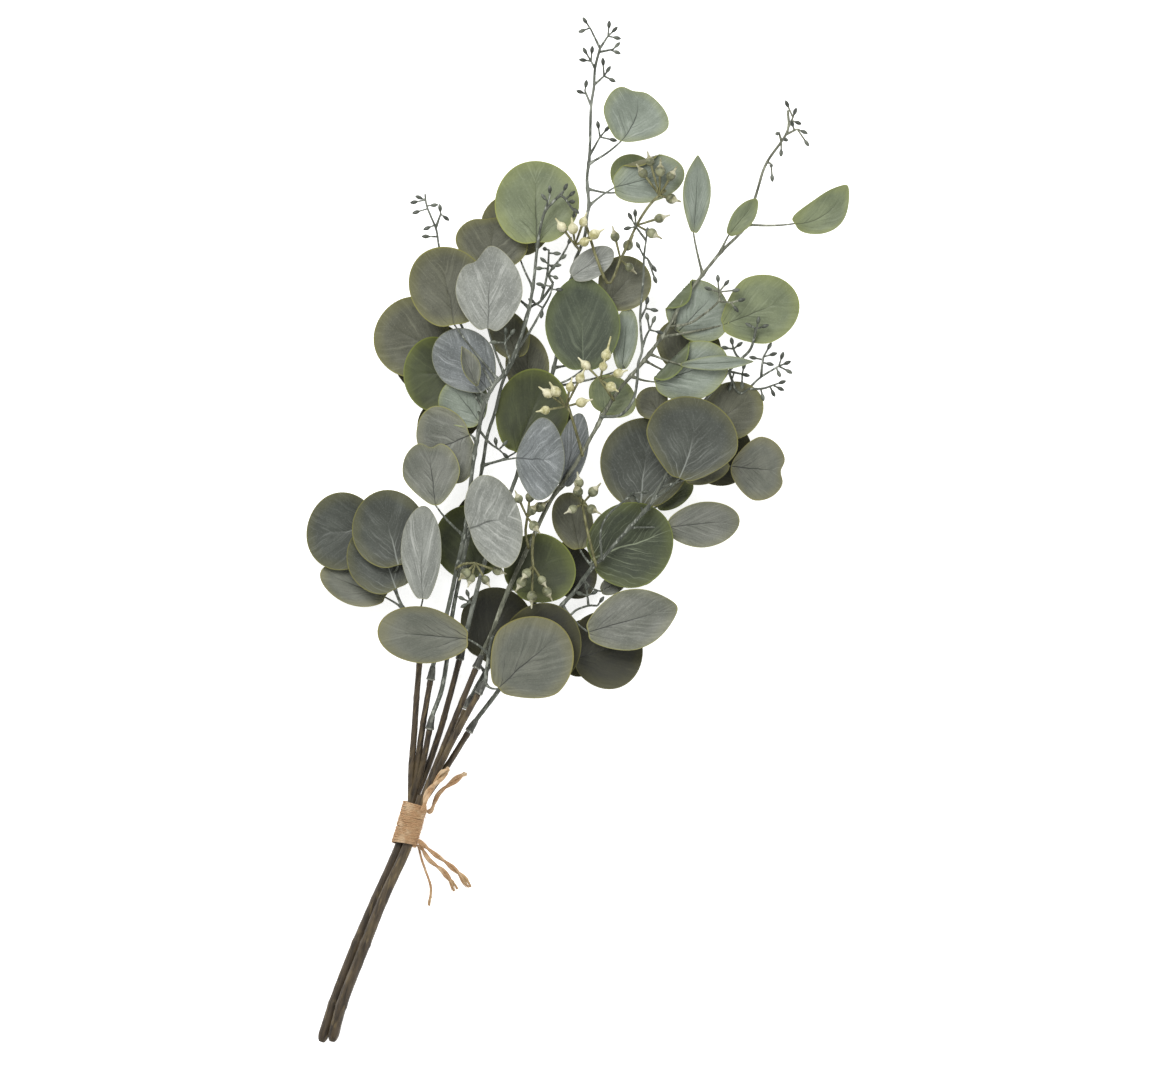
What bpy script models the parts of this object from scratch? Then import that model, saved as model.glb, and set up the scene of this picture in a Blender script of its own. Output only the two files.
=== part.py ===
"""A tied bunch of eucalyptus sprigs with round leaves, seed sprays and gum nuts.

Positions are written in millimetres on a flat sheet: x to the right and y up the
sheet from the middle of the twine binding, z up from the surface that the bunch
lies on. spot() turns the sheet so that the bunch's own length runs along +Y.
"""
import math

import bmesh
import bpy
from mathutils import Matrix, Vector

# Sizes in millimetres
LEAN = math.radians(15.0)
SHIFT_X = 29.19
SHIFT_Y = 177.67
GAP = 0.35

BLADE = 0.8
PETIOLE_R = 0.8
TWIG_R = 1.25
TWIG_TIP_R = 0.7
SPRAY_R = 0.65
SLEEVE_R = 2.5
SLEEVE_LENGTH = 8.0
SEED_R = 2.1
NUT_R = 3.2
SPIKE = 4.5

STEM_R = 3.3
STEM_NODE_R = 3.7
BRANCH_R = 2.0
BRANCH_TIP_R = 1.7

TURNS = 8
WRAP_CENTRE = (0.0, -1.0, 9.3)
WRAP_AXIS = (7.4, 25.4, 0.0)
WRAP_TILT = 47.0
WRAP_LENGTH = 26.0
WRAP_HOLE_LONG = 7.35
WRAP_HOLE_SHORT = 4.5
WRAP_TWINE = 2.1
TAIL_R = 1.0

# Colours
LEAF_GREY = (0.235, 0.285, 0.245)
LEAF_BLUE = (0.155, 0.205, 0.185)
LEAF_GREEN = (0.105, 0.150, 0.060)
LEAF_PALE = (0.300, 0.345, 0.300)
SEED_DARK = (0.085, 0.120, 0.100)
NUT_CREAM = (0.620, 0.580, 0.340)
NUT_OLIVE = (0.290, 0.310, 0.160)
STEM_BROWN = (0.130, 0.085, 0.045)
JUTE = (0.560, 0.330, 0.140)


def clear_scene():
    for thing in list(bpy.data.objects):
        bpy.data.objects.remove(thing)


def spot(x, y, z=0.0):
    """A place on the sheet, in metres in the bunch's own frame."""
    turned_x = x * math.cos(LEAN) - y * math.sin(LEAN) - SHIFT_X
    turned_y = x * math.sin(LEAN) + y * math.cos(LEAN) - SHIFT_Y
    return Vector((turned_x, turned_y, z)) * 0.001


def material(name, colour, roughness):
    made = bpy.data.materials.new(name)
    made.use_nodes = True
    shader = made.node_tree.nodes["Principled BSDF"]
    shader.inputs["Base Color"].default_value = (*colour, 1.0)
    shader.inputs["Roughness"].default_value = roughness
    shader.inputs["Metallic"].default_value = 0.0
    return made


def smooth_route(points, step):
    """Points about a step apart, in mm, on a smooth curve through the given ones."""
    knots = [Vector(p) for p in points]
    knots = [knots[0] * 2 - knots[1]] + knots + [knots[-1] * 2 - knots[-2]]
    fine = []
    for i in range(1, len(knots) - 2):
        a, b, c, d = knots[i - 1], knots[i], knots[i + 1], knots[i + 2]
        for k in range(12):
            t = k / 12
            bend = 2 * b + (c - a) * t
            bend += (2 * a - 5 * b + 4 * c - d) * t * t
            bend += (3 * b - a - 3 * c + d) * t ** 3
            fine.append(bend * 0.5)
    fine.append(knots[-2])
    total = sum((q - p).length for p, q in zip(fine, fine[1:]))
    pieces = max(1, round(total / step))
    route = [fine[0]]
    walked = 0.0
    for p, q in zip(fine, fine[1:]):
        length = (q - p).length
        while len(route) < pieces and walked + length >= total * len(route) / pieces:
            route.append(p.lerp(q, (total * len(route) / pieces - walked) / length))
        walked += length
    route.append(fine[-1])
    return route


def walk(route):
    """Close points along the straight pieces of a route."""
    steps = []
    for p, q in zip(route, route[1:]):
        steps += [p.lerp(q, k / 10) for k in range(10)]
    return steps + [route[-1]]


def tube(name, route, radii, sides=1):
    """A round rod along the route; radii is one value or one for each point."""
    curve = bpy.data.curves.new(name, "CURVE")
    curve.dimensions = "3D"
    curve.bevel_depth = 0.001
    curve.bevel_resolution = sides
    curve.use_fill_caps = True
    spline = curve.splines.new("POLY")
    spline.points.add(len(route) - 1)
    for i, place in enumerate(route):
        radius = radii[i] if isinstance(radii, (list, tuple)) else radii
        spline.points[i].co = (*spot(*place), 1.0)
        spline.points[i].radius = radius
    return bpy.data.objects.new(name, curve)


def taper(route, start, end):
    count = len(route) - 1
    return [start + (end - start) * i / count for i in range(count + 1)]


def leaf(name, base, tip, width, root, roll=0.0, cup=2.0, wave=0.7, notch=0.08):
    """A round leaf and its stalk in one blade: cupped, waved, and as thick all over."""
    along = (tip - base).normalized()
    half = (tip - base).length / 2
    side = along.cross(Vector((0, 0, 1))).normalized()
    face = side.cross(along)
    turn = Matrix.Rotation(math.radians(roll), 3, along)
    side = turn @ side
    face = turn @ face
    middle = (base + tip) / 2
    shape = bmesh.new()

    def point(x, y):
        rise = cup * (x * x + y * y - 0.4)
        rise += wave * math.cos(3 * math.atan2(y, x)) * (x * x + y * y)
        place = middle + along * (y * half) + side * (x * width / 2) + face * rise
        return shape.verts.new(spot(*place))

    def stalk_pair(place, across):
        pair = []
        for way in (-PETIOLE_R, PETIOLE_R):
            pair.append(shape.verts.new(spot(*(place + across * way))))
        return pair

    rims = []
    for way in (-1, 1):
        rim = []
        for angle in (-54, -18, 18, 54):
            x = way * math.cos(math.radians(angle)) * (1 - 0.06 * angle / 54)
            rim.append(point(x, math.sin(math.radians(angle))))
        rims.append(rim)
    inset = PETIOLE_R / (width / 2)
    foot = [point(-inset, notch - 1), point(inset, notch - 1)]
    rib = [point(0, -1 / 3), point(0, 1 / 3), point(0, 1)]
    for rim, low in zip(rims, foot):
        shape.faces.new((low, rim[0], rim[1], rib[0]))
        shape.faces.new((rib[0], rim[1], rim[2], rib[1]))
        shape.faces.new((rib[1], rim[2], rim[3], rib[2]))
    shape.faces.new((foot[0], foot[1], rib[0]))
    way = (root - base).normalized()
    across = (-way).cross(Vector((0, 0, 1))).normalized()
    if across.dot(side) < 0:
        across = -across
    last = foot
    if (root - base).length > 10:
        bend = base * 0.6 + root * 0.4 - along * 1.5
        pair = stalk_pair(bend, (across + side).normalized())
        shape.faces.new((last[0], last[1], pair[1], pair[0]))
        last = pair
    pair = stalk_pair(root, across)
    shape.faces.new((last[0], last[1], pair[1], pair[0]))
    bmesh.ops.triangulate(shape, faces=shape.faces, quad_method="SHORT_EDGE")
    bmesh.ops.recalc_face_normals(shape, faces=shape.faces)
    bmesh.ops.solidify(shape, geom=shape.faces[:], thickness=BLADE * 0.001)
    bmesh.ops.recalc_face_normals(shape, faces=shape.faces)
    mesh = bpy.data.meshes.new(name)
    shape.to_mesh(mesh)
    shape.free()
    return bpy.data.objects.new(name, mesh)


def level_underside(made):
    """Set a resting leaf's two faces exactly level, one of them on the surface."""
    for vert in made.data.vertices:
        if vert.co.z < BLADE * 0.0005:
            vert.co.z = 0.0
        elif vert.co.z < BLADE * 0.0014:
            vert.co.z = BLADE * 0.001


def nearest(route, x, y):
    return min(route, key=lambda p: (p.x - x) ** 2 + (p.y - y) ** 2)


def bead(name, root, place, radius, sides=0):
    """A seed on its short stalk."""
    root = Vector(root)
    place = Vector(place)
    way = (place - root).normalized()
    route = [root, place - way * radius * 0.2, place + way * radius * 1.2]
    return tube(name, route, [SPRAY_R * 0.8, radius, radius * 0.3], sides)


def nut(name, root, place, radius=NUT_R, spike=SPIKE):
    """A gum nut: stalk, round cup and the spike on its cap."""
    root = Vector(root)
    place = Vector(place)
    way = (place - root).normalized()
    route = [root, place - way * radius * 0.5, place + way * radius * 0.6,
             place + way * (radius + spike)]
    radii = [SPRAY_R, radius, radius * 0.85, 0.3]
    return tube(name, route, radii, 1)


class Sprig:
    """One node: a twig with what grows on it, joined at the end."""

    def __init__(self, name, colour, roughness=0.6):
        self.name = name
        self.colour = colour
        self.roughness = roughness
        self.parts = []
        self.route = []

    def twig(self, points, start=TWIG_R, end=TWIG_TIP_R, step=22.0, sides=1):
        route = smooth_route(points, step)
        label = f"{self.name}_twig_{len(self.parts)}"
        self.parts.append(tube(label, route, taper(route, start, end), sides))
        self.route += walk(route)
        return route

    def sleeve(self, start, toward, radius=SLEEVE_R):
        """The short socket that pushes on the end of a brown branch."""
        start = Vector(start)
        way = (Vector(toward) - start).normalized()
        route = [start, start + way * SLEEVE_LENGTH * 0.8, start + way * SLEEVE_LENGTH]
        label = f"{self.name}_sleeve_{len(self.parts)}"
        self.parts.append(tube(label, route, [radius, radius * 0.9, radius * 0.5], 1))

    def blade(self, base, tip, width, heights, join=None, **form):
        """A leaf and its stalk; heights are those of its base and tip."""
        base = Vector((*base, heights[0]))
        tip = Vector((*tip, heights[1]))
        root = nearest(self.route, *(join or base.xy))
        label = f"{self.name}_leaf_{len(self.parts)}"
        made = leaf(label, base, tip, width, root, **form)
        self.parts.append(made)
        return made

    def resting_blade(self, base, tip, width, join=None):
        """A leaf at the back that the bunch lies on."""
        heights = (BLADE / 2, BLADE / 2)
        made = self.blade(base, tip, width, heights, join, cup=0.0, wave=0.0)
        level_underside(made)

    def spray(self, points, seeds, radius=SEED_R):
        """A side shoot with seeds; each seed hangs from the nearest point of it."""
        points = [tuple(nearest(self.route, *points[0][:2]))] + points[1:]
        route = smooth_route(points, 12.0)
        label = f"{self.name}_shoot_{len(self.parts)}"
        self.parts.append(tube(label, route, taper(route, SPRAY_R * 1.1, SPRAY_R * 0.9), 0))
        fine = walk(route)
        for seed in seeds:
            root = min(fine, key=lambda p: abs((p - Vector(seed)).length - 4.0))
            label = f"{self.name}_seed_{len(self.parts)}"
            self.parts.append(bead(label, root, seed, radius))

    def nuts(self, hub, places, radius=NUT_R, spikes=None):
        fork = nearest(self.route, *hub[:2])
        for i, place in enumerate(places):
            spike = spikes[i] if spikes else SPIKE
            label = f"{self.name}_nut_{len(self.parts)}"
            shift = Vector((0.25 * math.cos(i * 2.4), 0.25 * math.sin(i * 2.4), 0.1 * i - 0.3))
            self.parts.append(nut(label, fork + shift, place, radius, spike))

    def finish(self):
        return fuse(self.name, self.parts, self.colour, self.roughness)


def as_mesh(thing):
    """A plain mesh object, linked to nothing, in place of a curve."""
    if thing.type == "MESH":
        return thing
    bpy.context.scene.collection.objects.link(thing)
    bpy.context.view_layer.update()
    graph = bpy.context.evaluated_depsgraph_get()
    mesh = bpy.data.meshes.new_from_object(thing.evaluated_get(graph))
    shape = bmesh.new()
    shape.from_mesh(mesh)
    bmesh.ops.remove_doubles(shape, verts=shape.verts, dist=0.000002)
    shape.to_mesh(mesh)
    shape.free()
    solid = bpy.data.objects.new(thing.name + "_solid", mesh)
    bpy.data.objects.remove(thing)
    return solid


def evaluated(thing):
    bpy.context.view_layer.update()
    graph = bpy.context.evaluated_depsgraph_get()
    return bpy.data.meshes.new_from_object(thing.evaluated_get(graph))


def closed(mesh):
    """True where each edge has two faces and all of it holds together."""
    shape = bmesh.new()
    shape.from_mesh(mesh)
    whole = all(len(edge.link_faces) == 2 for edge in shape.edges)
    shape.free()
    return whole


def fuse(name, parts, colour, roughness):
    """Join the parts into one body by one union, and give it its material."""
    solids = [as_mesh(p) for p in parts]
    body = solids[0]
    body.name = name
    body.data.name = name
    bpy.context.scene.collection.objects.link(body)
    group = bpy.data.collections.new(name + "_parts")
    bpy.context.scene.collection.children.link(group)
    for solid in solids[1:]:
        group.objects.link(solid)
    if len(solids) > 1:
        join = body.modifiers.new("join", "BOOLEAN")
        join.operation = "UNION"
        join.operand_type = "COLLECTION"
        join.collection = group
        join.solver = "EXACT"
        joined = evaluated(body)
        if not closed(joined):
            join.solver = "MANIFOLD"
            joined = evaluated(body)
        body.modifiers.clear()
        body.data = joined
        joined.name = name
    for solid in solids[1:]:
        bpy.data.objects.remove(solid)
    bpy.data.collections.remove(group)
    body.data.materials.clear()
    body.data.materials.append(material(name, colour, roughness))
    body.data.shade_smooth()
    body.data.set_sharp_from_angle(angle=math.radians(40))
    return body


def onward(branch, distance):
    """A point straight ahead of a branch's cut end."""
    end = branch[-1]
    return end + (end - branch[-2]).normalized() * distance


def perch(sprig, x, y, radius=TWIG_R):
    """Two points that stand a shoot on a twig, just clear of its bark."""
    foot = nearest(sprig.route, x, y)
    low = foot + Vector((0, 0, radius + GAP + 0.15))
    return [tuple(low), tuple(low + Vector((0, 0, 2.5)))]


def make_stem(name, main, branches):
    """A brown stem with swollen rings, forking above the binding."""
    route = smooth_route(main, 17.0)
    radii = taper(route, STEM_R, STEM_R * 0.86)
    for ring in (-110.0, -73.0, -47.0):
        at = min(range(len(route)), key=lambda i: abs(route[i].y - ring))
        radii[at] = STEM_NODE_R if ring < -60 else STEM_R * 1.04
    radii[0] = STEM_R * 0.55
    route.insert(1, route[0] + (route[1] - route[0]).normalized() * 1.6)
    radii.insert(1, STEM_R * 0.98)
    parts = [tube(name, route, radii, 2)]
    for i, branch in enumerate(branches):
        radii = taper(branch, BRANCH_R, BRANCH_TIP_R)
        radii[-1] = BRANCH_TIP_R * 1.15
        parts.append(tube(f"{name}_branch_{i}", branch, radii, 1))
    return fuse(name, parts, STEM_BROWN, 0.7)


def wrap_point(along, angle, out):
    """A place out from the binding's hole, which is oval because two stems fill it."""
    axis = Vector(WRAP_AXIS).normalized()
    across = axis.cross(Vector((0, 0, 1))).normalized()
    upward = across.cross(axis)
    tilt = math.radians(WRAP_TILT)
    long_way = across * math.cos(tilt) + upward * math.sin(tilt)
    short_way = upward * math.cos(tilt) - across * math.sin(tilt)
    place = Vector(WRAP_CENTRE) + axis * along
    place += long_way * (WRAP_HOLE_LONG + out) * math.cos(angle)
    return place + short_way * (WRAP_HOLE_SHORT + out) * math.sin(angle)


def make_binding():
    """Jute twine wound tightly round both stems, side by side in turns."""
    base_r = 10.0
    shape = bmesh.new()
    outline = [(0.0, -WRAP_LENGTH / 2), (0.0, WRAP_LENGTH / 2)]
    pitch = WRAP_LENGTH / TURNS
    for turn in range(TURNS):
        top = WRAP_LENGTH / 2 - turn * pitch
        outline.append((WRAP_TWINE * 0.62, top))
        outline.append((WRAP_TWINE, top - pitch / 2))
    outline.append((WRAP_TWINE * 0.62, -WRAP_LENGTH / 2))
    verts = [shape.verts.new((base_r + out, 0.0, up)) for out, up in outline]
    edges = [shape.edges.new((verts[i], verts[i - 1])) for i in range(len(verts))]
    bmesh.ops.spin(shape, geom=verts + edges, cent=(0, 0, 0), axis=(0, 0, 1),
                   angle=math.tau, steps=15, use_merge=True)
    bmesh.ops.remove_doubles(shape, verts=shape.verts, dist=0.001)
    for vert in shape.verts:
        angle = math.atan2(vert.co.y, vert.co.x)
        out = math.hypot(vert.co.x, vert.co.y) - base_r
        vert.co = spot(*wrap_point(vert.co.z, angle, out))
    bmesh.ops.recalc_face_normals(shape, faces=shape.faces)
    if shape.calc_volume(signed=True) < 0:
        bmesh.ops.reverse_faces(shape, faces=shape.faces)
    mesh = bpy.data.meshes.new("jute_binding")
    shape.to_mesh(mesh)
    shape.free()
    body = bpy.data.objects.new("jute_binding", mesh)
    bpy.context.scene.collection.objects.link(body)
    mesh.materials.append(material("jute_binding", JUTE, 0.9))
    mesh.shade_smooth()
    mesh.set_sharp_from_angle(angle=math.radians(50))
    return body


def make_tail(name, turn, angle, points, radius):
    """A free end of the twine, which leaves the crest of one turn."""
    crest = WRAP_LENGTH / 2 - (turn + 0.5) * WRAP_LENGTH / TURNS
    out = WRAP_TWINE + GAP * 2 + max(0.0, radius - TAIL_R)
    start = wrap_point(crest, math.radians(angle), out)
    clear = wrap_point(crest, math.radians(angle), out + 2.0)
    route = smooth_route([tuple(start), tuple(clear)] + points, radius * 5)
    made = tube(name, route, taper(route, radius, radius * 0.85), 2)
    made.data.materials.append(material(name, JUTE, 0.9))
    bpy.context.scene.collection.objects.link(made)
    return made


clear_scene()

# Stems below the binding and the brown branches above it
LEFT_MAIN = [(-53.4, -132.6, 3.8), (-44.6, -105.6, 4.0), (-33.0, -75.6, 4.3),
             (-21.4, -48.6, 5.0), (-6.2, -14.0, 6.4), (1.2, 11.4, 6.6), (2.4, 16.5, 6.8)]
RIGHT_MAIN = [(-46.9, -132.0, 8.0), (-40.6, -108.6, 9.9), (-28.9, -78.6, 11.0),
              (-15.8, -45.6, 11.3), (-1.4, -14.0, 11.9), (6.0, 11.4, 11.9), (7.4, 16.5, 12.0)]
BRANCH_1 = smooth_route([(0.8, 10.0, 6.6), (0.0, 18.0, 6.8), (2.4, 49.2, 8.0),
                         (3.6, 68.4, 10.0), (6.0, 96.6, 12.5)], 22)
BRANCH_2 = smooth_route([(1.0, 10.0, 6.6), (3.0, 20.0, 7.0), (7.2, 54.0, 10.0),
                         (12.6, 85.8, 14.5)], 22)
BRANCH_3 = smooth_route([(1.0, 10.0, 6.6), (4.6, 20.0, 7.6), (10.8, 50.0, 12.5),
                         (12.0, 56.0, 13.5)], 22)
BRANCH_4 = smooth_route([(1.0, 9.0, 6.6), (5.4, 19.0, 6.6), (15.6, 46.8, 7.5),
                         (23.4, 73.2, 12.0), (30.0, 98.0, 15.0)], 22)
BRANCH_5 = smooth_route([(6.0, 10.0, 11.9), (10.4, 21.0, 13.0), (19.8, 43.8, 16.5),
                         (28.2, 64.8, 19.0), (40.0, 93.0, 21.0)], 22)
BRANCH_6 = smooth_route([(6.0, 10.0, 11.9), (11.4, 20.0, 14.0), (24.6, 47.0, 21.5),
                         (41.4, 77.8, 26.0)], 22)
BRANCH_7 = smooth_route([(6.0, 10.0, 11.9), (12.0, 21.0, 12.0), (26.6, 52.0, 11.0),
                         (33.6, 68.0, 10.0)], 22)
BRANCH_8 = smooth_route([(6.0, 10.0, 11.9), (13.0, 20.0, 12.4), (31.8, 48.0, 14.0),
                         (35.4, 54.6, 14.4)], 22)
make_stem("stem_left", LEFT_MAIN, [BRANCH_1, BRANCH_2, BRANCH_3, BRANCH_4])
make_stem("stem_right", RIGHT_MAIN, [BRANCH_5, BRANCH_6, BRANCH_7, BRANCH_8])
make_binding()


def start_sprig(name, branch, colour, points, **form):
    """A sprig that pushes on a branch's end and carries on in its direction."""
    sprig = Sprig(name, colour)
    first = onward(branch, GAP)
    second = onward(branch, 9.0)
    sprig.twig([tuple(first), tuple(second)] + points, **form)
    sprig.sleeve(first, second)
    return sprig


# Low left sprig
left = start_sprig("sprig_low_left", BRANCH_1, LEAF_BLUE,
                   [(2.0, 122.0, 14.0), (-4.8, 131.0, 14.2), (-12.0, 150.0, 14.5)])
left.blade((-18.6, 176.4), (-63.0, 174.6), 47, (13, 9), join=(-12, 150))
left.blade((-6.0, 153.6), (-17.4, 199.2), 46, (23, 22), join=(-12, 150))
left.blade((-7.2, 139.2), (-23.4, 181.2), 45, (18.6, 17.6), join=(-8, 140))
left.blade((-12.6, 135.0), (-54.0, 151.2), 24, (9, 8), join=(-3, 129), roll=15, cup=1.0)
left.blade((8.4, 133.2), (9.6, 191.4), 25, (27, 28), join=(3, 118), roll=-10)
left.blade((-10.0, 158.0), (-44.0, 166.0), 40, (4, 3.5), join=(-12, 150), cup=1.0)
left.finish()

# Left sprig, with the seed sprays at its tips
tall = start_sprig("sprig_left", BRANCH_2, LEAF_GREY,
                   [(23.4, 129.6, 20.0), (28.8, 154.2, 24.0), (34.2, 178.2, 28.0),
                    (36.6, 200.4, 30.0), (40.2, 226.2, 31.0), (45.6, 252.0, 32.5),
                    (52.2, 264.6, 33.0), (57.6, 270.6, 33.0), (64.2, 284.4, 33.0),
                    (70.2, 300.6, 33.0), (74.4, 321.6, 32.5), (77.4, 348.6, 32.0),
                    (81.0, 365.4, 35.0), (86.4, 372.6, 36.0), (92.4, 378.6, 36.0)])
tall.blade((76.8, 346.0), (76.2, 398.0), 50, (30, 25), join=(77, 346))
tall.blade((47.4, 332.4), (52.2, 364.8), 43, (23, 20), join=(72, 310))
tall.blade((27.6, 297.6), (18.6, 346.2), 46, (31, 28), join=(52.8, 266.5))
tall.blade((47.4, 293.4), (49.2, 345.6), 41, (38, 36), join=(57, 271), notch=0.14)
tall.blade((23.4, 283.2), (-19.8, 301.2), 48, (16.5, 13), join=(44.8, 248.5))
tall.blade((31.8, 270.0), (-3.6, 270.6), 44, (21, 19.5), join=(46, 254))
tall.blade((48.0, 259.8), (20.4, 294.6), 36, (30, 27), join=(49, 259))
tall.blade((40.8, 261.6), (31.8, 285.6), 14, (40, 43), join=(47, 256), roll=45, cup=1.0)
tall.blade((43.2, 240.0), (23.4, 265.2), 31, (26.5, 26), join=(42, 236))
tall.blade((38.4, 234.0), (6.6, 221.0), 48, (28, 26), join=(40, 230))
tall.blade((16.2, 190.8), (11.4, 230.4), 34, (34, 35), join=(32.4, 172), notch=0.02)
tall.blade((35.4, 177.0), (66.6, 186.5), 58, (34, 38), join=(34.4, 180), cup=3.0)
tall.blade((66.0, 340.0), (64.0, 380.0), 44, (16, 14), join=(74.4, 321))
tall.blade((30.0, 228.0), (18.0, 257.0), 40, (12, 10), join=(39, 221))
tall.resting_blade((33.0, 262.0), (-5.4, 297.0), 44, join=(43.4, 243))
tall.spray([(86.4, 372.6, 36), (92, 376, 37), (99.0, 367.0, 38)],
           [(100.2, 367.2, 38), (97.8, 372.6, 40), (99.0, 364.8, 34)])
tall.spray([(50.0, 262.0, 32), (40.0, 282.0, 26), (24.6, 315.0, 23), (18.0, 346.2, 22),
            (16.2, 357.0, 22), (10.8, 370.2, 23), (9.6, 378.0, 24)],
           [(10.8, 357.6, 23), (15.0, 371.4, 24), (3.0, 373.2, 23),
            (-2.4, 391.8, 24), (-3.6, 381.0, 25), (6.6, 393.0, 25), (16.8, 384.6, 25),
            (22.2, 363.6, 24)])
tall.finish()

# Middle sprig
mid = start_sprig("sprig_middle", BRANCH_3, LEAF_GREEN,
                  [(19.2, 79.8, 15.5), (22.8, 100.2, 16.0), (26.4, 129.0, 16.5),
                   (36.0, 175.0, 18.0), (43.8, 213.6, 20.5), (46.8, 232.2, 22.0),
                   (51.6, 247.2, 23.0), (56.4, 265.8, 24.0), (64.8, 283.2, 25.0),
                   (71.4, 307.8, 26.0), (78.6, 313.2, 27.0), (86.4, 324.0, 28.0)])
mid.blade((66.0, 279.0), (54.6, 307.2), 24, (22, 19), join=(64, 282))
mid.blade((41.4, 146.4), (31.8, 191.4), 44, (8.8, 8.2), join=(32, 155))
mid.blade((65.4, 215.4), (93.0, 221.4), 48, (40, 41), join=(44, 214), cup=1.5)
mid.blade((63.6, 221.4), (83.4, 271.8), 44, (21, 20), join=(44, 216))
mid.blade((43.0, 158.0), (50.0, 200.0), 42, (3.2, 3.0), join=(32, 155), cup=1.0)
mid.spray([(78.6, 313.2, 27), (83.0, 330.0, 31), (84.0, 344.0, 33)],
          [(89.0, 335.0, 32), (88.0, 327.5, 36), (81.6, 344.5, 38), (88.8, 342.0, 32),
           (80.5, 322.0, 34)])
mid.finish()

# Tall middle sprig, up to the top
top = start_sprig("sprig_top", BRANCH_4, LEAF_GREEN,
                  [(45.6, 158.4, 13.0), (63.6, 206.4, 13.0), (81.6, 254.4, 13.5),
                   (91.8, 296.4, 15.5), (99.0, 335.4, 18.0), (102.0, 343.8, 19.0),
                   (105.6, 353.4, 20.0), (106.8, 365.4, 21.0), (108.0, 372.0, 21.5),
                   (106.8, 387.0, 22.0), (108.0, 397.8, 22.5), (108.6, 408.6, 23.0),
                   (109.2, 430.2, 24.0), (111.0, 442.8, 24.0), (111.6, 453.6, 24.0),
                   (114.6, 465.6, 24.0)])
top.blade((104.4, 270.6), (103.8, 328.2), 46, (22.5, 24), join=(85, 262))
top.blade((127.8, 271.8), (131.4, 310.2), 15, (19, 19), join=(85, 262), cup=1.0)
top.blade((96.6, 327.6), (122.4, 344.4), 17, (26.5, 28), join=(97, 324), cup=1.0)
top.blade((117.6, 311.4), (140.4, 337.2), 32, (20, 18), join=(97, 324))
top.blade((127.2, 409.2), (136.8, 441.0), 41, (30, 32), join=(109.2, 397.2), notch=0.02)
top.blade((121.8, 381.6), (164.4, 392.4), 27, (25, 26), join=(108, 372))
top.blade((72.6, 255.6), (69.0, 295.2), 26, (13, 12), join=(82, 255))
top.blade((112.0, 280.0), (104.0, 318.0), 38, (7, 6), join=(88, 275))
top.blade((72.0, 225.0), (85.0, 262.0), 40, (5, 5), join=(66, 212))
top.blade((128.0, 384.0), (141.6, 414.0), 34, (15, 16), join=(107, 380))
top.spray([(109.2, 400.2, 22.5), (114.6, 412.2, 25)],
          [(113.4, 419.4, 26), (122.4, 410.4, 25)])
top.spray([(108.6, 432.0, 24), (105.6, 439.8, 25)], [(106.2, 444.0, 26), (102.6, 439.2, 26)])
top.spray([(111.6, 442.2, 24), (117.0, 448.8, 25)],
          [(116.4, 457.2, 26), (121.8, 446.4, 25)])
top.spray([(111.0, 454.2, 24), (109.2, 457.8, 24)], [(105.6, 463.8, 25), (104.4, 458.4, 24)])
top.spray([(114.6, 465.6, 24), (108.6, 477.6, 25)],
          [(105.6, 482.4, 25), (103.8, 475.8, 26)])
top.spray([(114.6, 465.6, 24), (119.4, 472.8, 24)],
          [(120.0, 480.0, 25), (124.8, 471.6, 25)])
top.spray([(114.6, 464.0, 24), (122.4, 465.0, 23)], [(124.8, 468.0, 22), (124.8, 463.2, 22)])
top.finish()

# Long right sprig
long = start_sprig("sprig_right_top", BRANCH_5, LEAF_GREY,
                   [(50.4, 116.4, 24.0), (55.2, 129.6, 25.0), (61.2, 144.0, 26.0),
                    (73.8, 171.0, 27.5), (85.2, 194.4, 28.5), (99.6, 215.4, 29.5),
                    (111.0, 235.2, 30.0), (124.8, 258.6, 29.5), (141.0, 277.8, 28.5),
                    (155.4, 297.6, 28.0), (163.8, 313.2, 28.0), (172.8, 325.2, 27.5),
                    (186.6, 342.6, 26.5), (201.6, 358.2, 25.5), (208.2, 377.4, 24.5),
                    (214.2, 396.0, 24.0), (226.8, 415.2, 23.5), (227.4, 428.4, 23.0)])
long.blade((61.8, 139.2), (94.2, 166.8), 44, (22, 21), join=(60, 141))
long.blade((92.4, 200.4), (102.6, 246.6), 19, (27, 28), join=(88, 199), roll=20, cup=1.0)
long.blade((166.8, 357.0), (172.8, 401.4), 18, (30, 33), join=(175.8, 331), roll=20, cup=1.0)
long.blade((191.4, 352.8), (208.8, 374.4), 13, (26, 29), join=(188, 344), cup=1.0)
long.blade((230.4, 359.4), (262.8, 382.8), 27, (24, 25), join=(202.8, 359))
long.blade((160.2, 294.0), (186.0, 320.8), 36, (25, 26), join=(159, 304))
long.blade((186.0, 297.6), (234.0, 320.4), 41, (26, 24), join=(152.5, 291))
long.blade((145.8, 264.6), (191.4, 278.4), 33, (31, 32), join=(133, 268))
long.blade((161.4, 275.4), (205.8, 277.2), 9, (35, 36), join=(144, 281), cup=0.6)
long.blade((114.6, 246.0), (129.0, 266.4), 30, (24, 22), join=(113, 239))
long.blade((160.0, 270.0), (176.0, 302.0), 40, (15, 13), join=(141, 278))
long.spray([(223.8, 410.0, 24), (222.0, 415.0, 25)],
           [(220.8, 414.0, 29), (223.2, 402.6, 26)])
long.spray([(226.8, 418.0, 23.5), (230.4, 424.0, 24)],
           [(226.8, 432.4, 25), (233.4, 420.6, 26)])
long.spray([(226.8, 413.0, 23.5), (233.0, 417.0, 24)],
           [(237.0, 415.2, 25), (238.8, 408.6, 25)])
long.spray([(214.8, 397.2, 24), (217.2, 396.0, 26)], [(217.2, 394.8, 30), (217.8, 387.6, 27)])
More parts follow.
